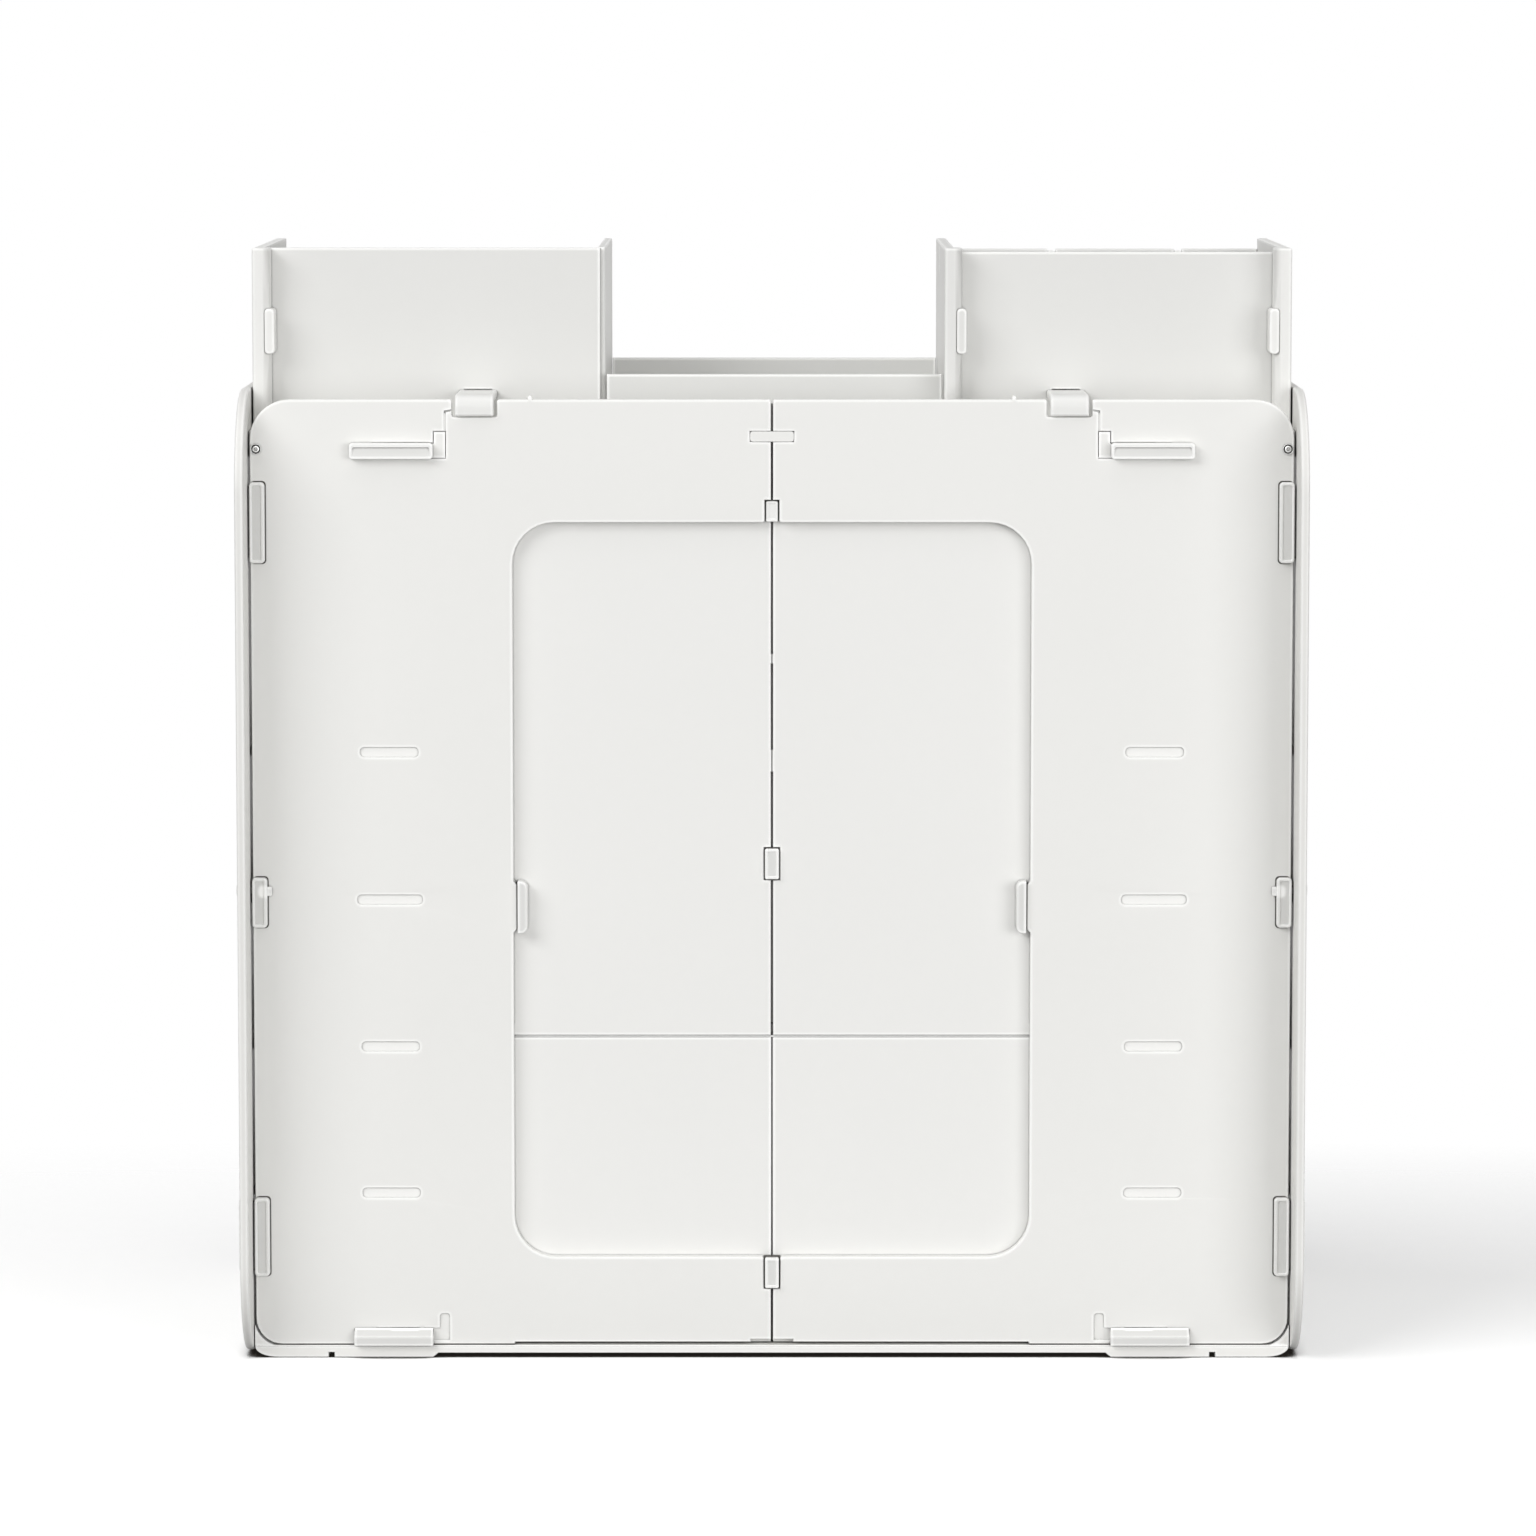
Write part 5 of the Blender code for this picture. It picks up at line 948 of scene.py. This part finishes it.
def rear_screw(word, side):
    """Screw whose head faces the rear."""
    node = f"rear_screw_{word}"
    (inner, outer), (rear, end), (low, high) = spans(node)
    place = ((inner + outer) / 2, (low + high) / 2, SEAT)
    rings = screw_rings(SEAT - rear, end - SEAT) * (1.0, 1.0, -1.0) + place
    return make_piece(f"{word}_rear_screw", node, "carcass", [rear_view(rings, side)])


def side_screw(word, side):
    """Screw whose head faces outwards at the side."""
    node = f"side_screw_{word}"
    (end, outer), (rear, front), (low, high) = spans(node)
    under = spans(f"side_panel_{word}")[0][1] + FIT
    place = ((rear + front) / 2, (low + high) / 2, under)
    rings = screw_rings(outer - under, under - end) + place
    return make_piece(f"{word}_side_screw", node, "carcass", [side_view(rings, side)])


screws = [make(word, side) for make in (rear_screw, side_screw) for word, side in SIDES]
print(len(screws), "screws")

# %% [markdown]
# ## Bottom board
# The bottom board's rear edge is the strip under the panel.  Its section is drawn in X and Z: two
# foot rails with a short ramp and a notch, ends that sweep up from the desk, and a flat top.  At
# each end a horn rises behind the panel's round corner and follows it at a hair's distance, so only
# a thin line shows there.  The horn is an arc closed by the board's corner.

# %% Bottom board
FOOT_INNER = 147.2 * MM
FOOT_RAMP = 2.3 * MM
FOOT_HEIGHT = 2.0 * MM
FOOT_NOTCH = (190.0 * MM, 192.6 * MM, 2.3 * MM)
FOOT_ROUND = 0.5 * MM
END_ROUND = 10.5 * MM
PANEL_CORNER = 11.5 * MM
SWEEP_STEPS = 9
HORN_GAP = 0.9 * MM
HORN_PROUD = 1.1 * MM
HORN_ROOT = 0.1 * MM
HORN_STEPS = 16


def bottom_board():
    """Board with rails, notches and swept ends, carried along Y, and a horn at each end."""
    low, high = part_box("bottom_board")
    turn = np.linspace(0.0, np.pi / 2, SWEEP_STEPS)
    sweep = zip(high.x - END_ROUND * (1 - np.sin(turn)), (high.z - 2 * SOFT) * (1 - np.cos(turn)))
    half = [(FOOT_INNER - FOOT_RAMP, FOOT_HEIGHT), (FOOT_INNER, 0.0), (FOOT_NOTCH[0], 0.0),
            (FOOT_NOTCH[0], FOOT_NOTCH[2]), (FOOT_NOTCH[1], FOOT_NOTCH[2]), (FOOT_NOTCH[1], 0.0),
            *sweep, (high.x, high.z)]
    rim = mitred_polygon(half + [(-x, z) for x, z in reversed(half)])
    board = carried(rim, rounded_levels(low.y, high.y, FOOT_ROUND, SAWN_ROUND))
    corner_x = PANEL_OUTER - PANEL_CORNER
    corner_z = spans("back_panel_right")[2][0] + PANEL_CORNER
    reach = PANEL_CORNER + HORN_GAP
    root = high.z - HORN_ROOT
    start, end = -math.acos((high.x - corner_x) / reach), math.asin((root - corner_z) / reach)
    arc = np.linspace(start, end, HORN_STEPS)
    horn = np.stack([corner_x + reach * np.cos(arc), corner_z + reach * np.sin(arc)], axis=-1)
    horn = np.concatenate([horn, [[high.x, root]]])
    horn_levels = np.array([[0.0, PANEL_REAR - HORN_PROUD], [0.0, PANEL_FRONT]])
    horn_rings = carried((horn, np.zeros_like(horn)), horn_levels)
    stacks = [rear_view(board)] + [rear_view(horn_rings, side) for _, side in SIDES]
    return make_piece("foot_board", "bottom_board", "carcass", stacks)


foot_board = bottom_board()
print("bottom board of", len(foot_board.data.polygons), "faces")

# %% [markdown]
# ## Tray walls and the shelf above the drawers
# Two low walls stand on the top board between the caddies and are held by tabs in its slots; their
# upper corners are nearly square.  The shelf above the drawers carries a thin fin that keeps the
# two drawers apart and closes the slit between them, and a lip that half fills the gap below the
# boards of the window.  All are flat boards with broken edges, so an outline and its levels do.

# %% Tray walls and the shelf above the drawers
TRAY_RISE = 2.0 * MM
TRAY_ROUND = 0.5 * MM
TRAY_TABS = (13.0 * MM, 31.0 * MM)
FIN_THICKNESS = 0.5 * MM
FIN_CORNER = 0.05 * MM
FIN_SETBACK = 6.0 * MM
LIP_THICKNESS = 0.5 * MM
LIP_SETBACK = 0.6 * MM
LIP_DEPTH = 2.0 * MM
LIP_END = 1.5 * MM


def tray_wall(place):
    """Low wall with two tabs, drawn in X and Z and carried through its thickness."""
    node = f"tray_{place}_wall"
    low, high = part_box(node)
    foot = TOP_FACE + FIT
    top = high.z + TRAY_RISE
    tabs = [low.x + TRAY_TABS[0], low.x + TRAY_TABS[1], high.x - TRAY_TABS[1], high.x - TRAY_TABS[0]]
    corners = [(low.x, foot)]
    for start, end in (tabs[:2], tabs[2:]):
        corners += [(start, foot), (start, low.z), (end, low.z), (end, foot)]
    corners += [(high.x, foot), (high.x, top), (low.x, top)]
    wall = carried(mitred_polygon(corners), rounded_levels(high.y, low.y, TRAY_ROUND, TRAY_ROUND))
    return make_piece(f"tray_{place}_board", node, "carcass", [rear_view(wall)])


def drawer_shelf():
    """Shelf above the drawers, the fin below its middle and the lip along its rear edge."""
    low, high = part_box("mid_shelf")
    plate = soft_bar((low.x, high.x), (low.y, high.y), 2 * SOFT, low.z, high.z, SAWN_ROUND, SAWN_ROUND)
    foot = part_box("bottom_board")[1].z + FIT
    root = low.z + SAWN_ROUND
    fin = soft_bar(about(0.0, FIN_THICKNESS / 2), (low.y, high.y - FIN_SETBACK), FIN_CORNER, foot, root)
    gap_bottom, gap_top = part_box("drawer_right")[1].z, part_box("inner_back_right")[0].z
    lip_low, lip_high = about((gap_bottom + gap_top) / 2, LIP_THICKNESS / 2)
    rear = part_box("inner_back_right")[0].y + LIP_SETBACK
    neck, front = low.y + SAWN_ROUND, low.y + LIP_DEPTH
    section = [(rear, lip_low), (front, lip_low), (front, root),
               (neck, root), (neck, lip_high), (rear, lip_high)]
    lip = carried(mitred_polygon(section), rounded_levels(low.x + LIP_END, high.x - LIP_END, 0.0, 0.0))
    stacks = [plan_view(plate), plan_view(fin), side_view(lip)]
    return make_piece("drawer_shelf", "mid_shelf", "carcass", stacks)


flat_boards = [tray_wall("back"), tray_wall("front"), drawer_shelf()]
print(len(flat_boards), "flat boards")

# %% [markdown]
# ## Floor
# The organizer stands on a plain white sweep.  A real sweep curves up out of sight; here an oval
# floor thins out to nothing, and the white world shows through, so there is no horizon and the
# soft shadow beside the feet stays.  To the camera and to reflections the floor is white card with
# a little glow of its own; the light it throws back comes from plain grey card.  Close under the
# board both are taken away by how shut in the floor is and the card shown there is painted dark, a
# painted contact shadow along the feet.
# The oval lies a little towards the camera, so that the shadow thins out soon on the far side.

# %% Floor
FLOOR_CARD = (0.45, 0.45, 0.45, 1.0)
WHITE = (1.0, 1.0, 1.0, 1.0)
BLACK = (0.0, 0.0, 0.0, 1.0)
FLOOR_GLOW = 0.30
FLOOR_NEAR = 0.22
FLOOR_GONE = 0.58
FLOOR_FAR = 0.60
FLOOR_RINGS = 11
FLOOR_TURNS = 64
FLOOR_STRETCH = 2.4
FLOOR_SHIFT = 0.07
CONTACT_REACH = 12.0 * MM
CONTACT_OPEN = 0.62
CONTACT_SHUT = 0.34
CONTACT_SAMPLES = 8
PAINTED_CONTACT_SHADE = (0.03, 0.026, 0.022, 1.0)
SHOWN_RAYS = ("Is Camera Ray", "Is Glossy Ray", "Is Transmission Ray")


def shown_share(wire):
    """1 for rays that show a surface to the camera, straight or by reflection, and 0 for light."""
    camera_ray, glossy_ray, clear_ray = [wire.node("ShaderNodeLightPath", output=ray) for ray in SHOWN_RAYS]
    return (camera_ray + glossy_ray + clear_ray).within()


reaches = np.linspace(0.0, FLOOR_FAR, FLOOR_RINGS + 1)[1:]
turns = np.linspace(0.0, 2 * np.pi, FLOOR_TURNS, endpoint=False)
ring, turn = np.meshgrid(reaches, turns, indexing="ij")
across, along = FLOOR_STRETCH * ring * np.cos(turn), ring * np.sin(turn) - FLOOR_SHIFT
floor_points, floor_faces = skin(np.stack([across, along, np.zeros_like(ring)], axis=-1))
floor_mesh = bpy.data.meshes.new("white_floor")
floor_mesh.from_pydata(floor_points.tolist(), [], floor_faces[:-1])
floor = bpy.data.objects.new("white_floor", floor_mesh)
scene.collection.objects.link(floor)

material, wire = new_finish("white_floor")
place = wire.node("ShaderNodeTexCoord", output="Object")
drawn_in = wire.node("ShaderNodeVectorMath", {"operation": "MULTIPLY_ADD"}, {
    0: place, 1: (1.0 / FLOOR_STRETCH, 1.0, 1.0), 2: (0.0, FLOOR_SHIFT, 0.0)})
distance = wire.node("ShaderNodeVectorMath", {"operation": "LENGTH"}, {0: drawn_in}, "Value")
thin = ramp(distance, FLOOR_NEAR, FLOOR_GONE)
shown = shown_share(wire)
# painted contact shadow: close under the board the floor shown to the camera goes dark and loses its glow
clear_of_board = ramp(open_sky(wire, CONTACT_REACH, CONTACT_SAMPLES), CONTACT_SHUT, CONTACT_OPEN)
shown_card = clear_of_board.blend(PAINTED_CONTACT_SHADE, WHITE)
matte = wire.node("ShaderNodeBsdfDiffuse", {}, {"Color": shown.blend(FLOOR_CARD, shown_card)})
glow = wire.node("ShaderNodeEmission", {}, {
    "Color": shown.blend(BLACK, shown_card), "Strength": FLOOR_GLOW})
card = wire.node("ShaderNodeAddShader", {}, {0: matte, 1: glow})
clear = wire.node("ShaderNodeBsdfTransparent")
wire.node("ShaderNodeOutputMaterial", {}, {
    "Surface": wire.node("ShaderNodeMixShader", {}, {0: thin, 1: card, 2: clear})})
floor_mesh.materials.append(material)
print("floor of", len(floor_mesh.polygons), "faces")

# %% [markdown]
# ## Studio light
# The light is a soft white room with a box on either side, so that the side boards shade the
# panel's two edges.  The left box is the stronger one, which puts the soft shadow on the floor at
# the right; a broad box behind the camera lights the panel, and one overhead brightens every
# top edge.  The boxes stand far away, so the light hardly falls off across the panel.  Each
# level says how bright a white card that faces the box would be.  The world shows plain white to
# the camera and to reflections, and lights the scene a good deal less.

# %% Studio light
ROOM_LIGHT = 0.24
AIM = Vector((0.0, -0.05, 0.24))

world = bpy.data.worlds.new("white_room")
world.use_nodes = True
scene.world = world
world.node_tree.nodes.clear()
wire = Wire(world.node_tree)
room = wire.node("ShaderNodeBackground", {}, {"Color": WHITE, "Strength": ROOM_LIGHT})
white = wire.node("ShaderNodeBackground", {}, {"Color": WHITE, "Strength": 1.0})
wire.node("ShaderNodeOutputWorld", {}, {
    "Surface": wire.node("ShaderNodeMixShader", {}, {0: shown_share(wire), 1: room, 2: white})})


def softbox(name, across, height, distance, size, level):
    """Lamp aimed at the organizer from two angles off straight behind; power = level (pi distance)^2."""
    lamp_data = bpy.data.lights.new(name, "AREA")
    lamp_data.shape = "RECTANGLE"
    lamp_data.size, lamp_data.size_y = size
    lamp_data.energy = level * (math.pi * distance) ** 2
    lamp = bpy.data.objects.new(name, lamp_data)
    across, height = math.radians(across), math.radians(height)
    flat = math.cos(height)
    toward = Vector((math.sin(across) * flat, -math.cos(across) * flat, math.sin(height)))
    lamp.location = AIM + toward * distance
    lamp.rotation_euler = (-toward).to_track_quat("-Z", "Y").to_euler()
    scene.collection.objects.link(lamp)
    return lamp


boxes = [
    softbox("left_box", across=-42.0, height=30.0, distance=4.0, size=(2.6, 1.8), level=0.50),
    softbox("right_box", across=37.0, height=5.0, distance=4.0, size=(2.4, 2.0), level=0.40),
    softbox("front_box", across=0.0, height=12.0, distance=4.5, size=(3.0, 2.2), level=0.12),
    softbox("overhead_box", across=0.0, height=78.0, distance=3.0, size=(2.4, 2.0), level=0.24),
]
print([(box.name, round(box.data.energy, 1)) for box in boxes])

# %% [markdown]
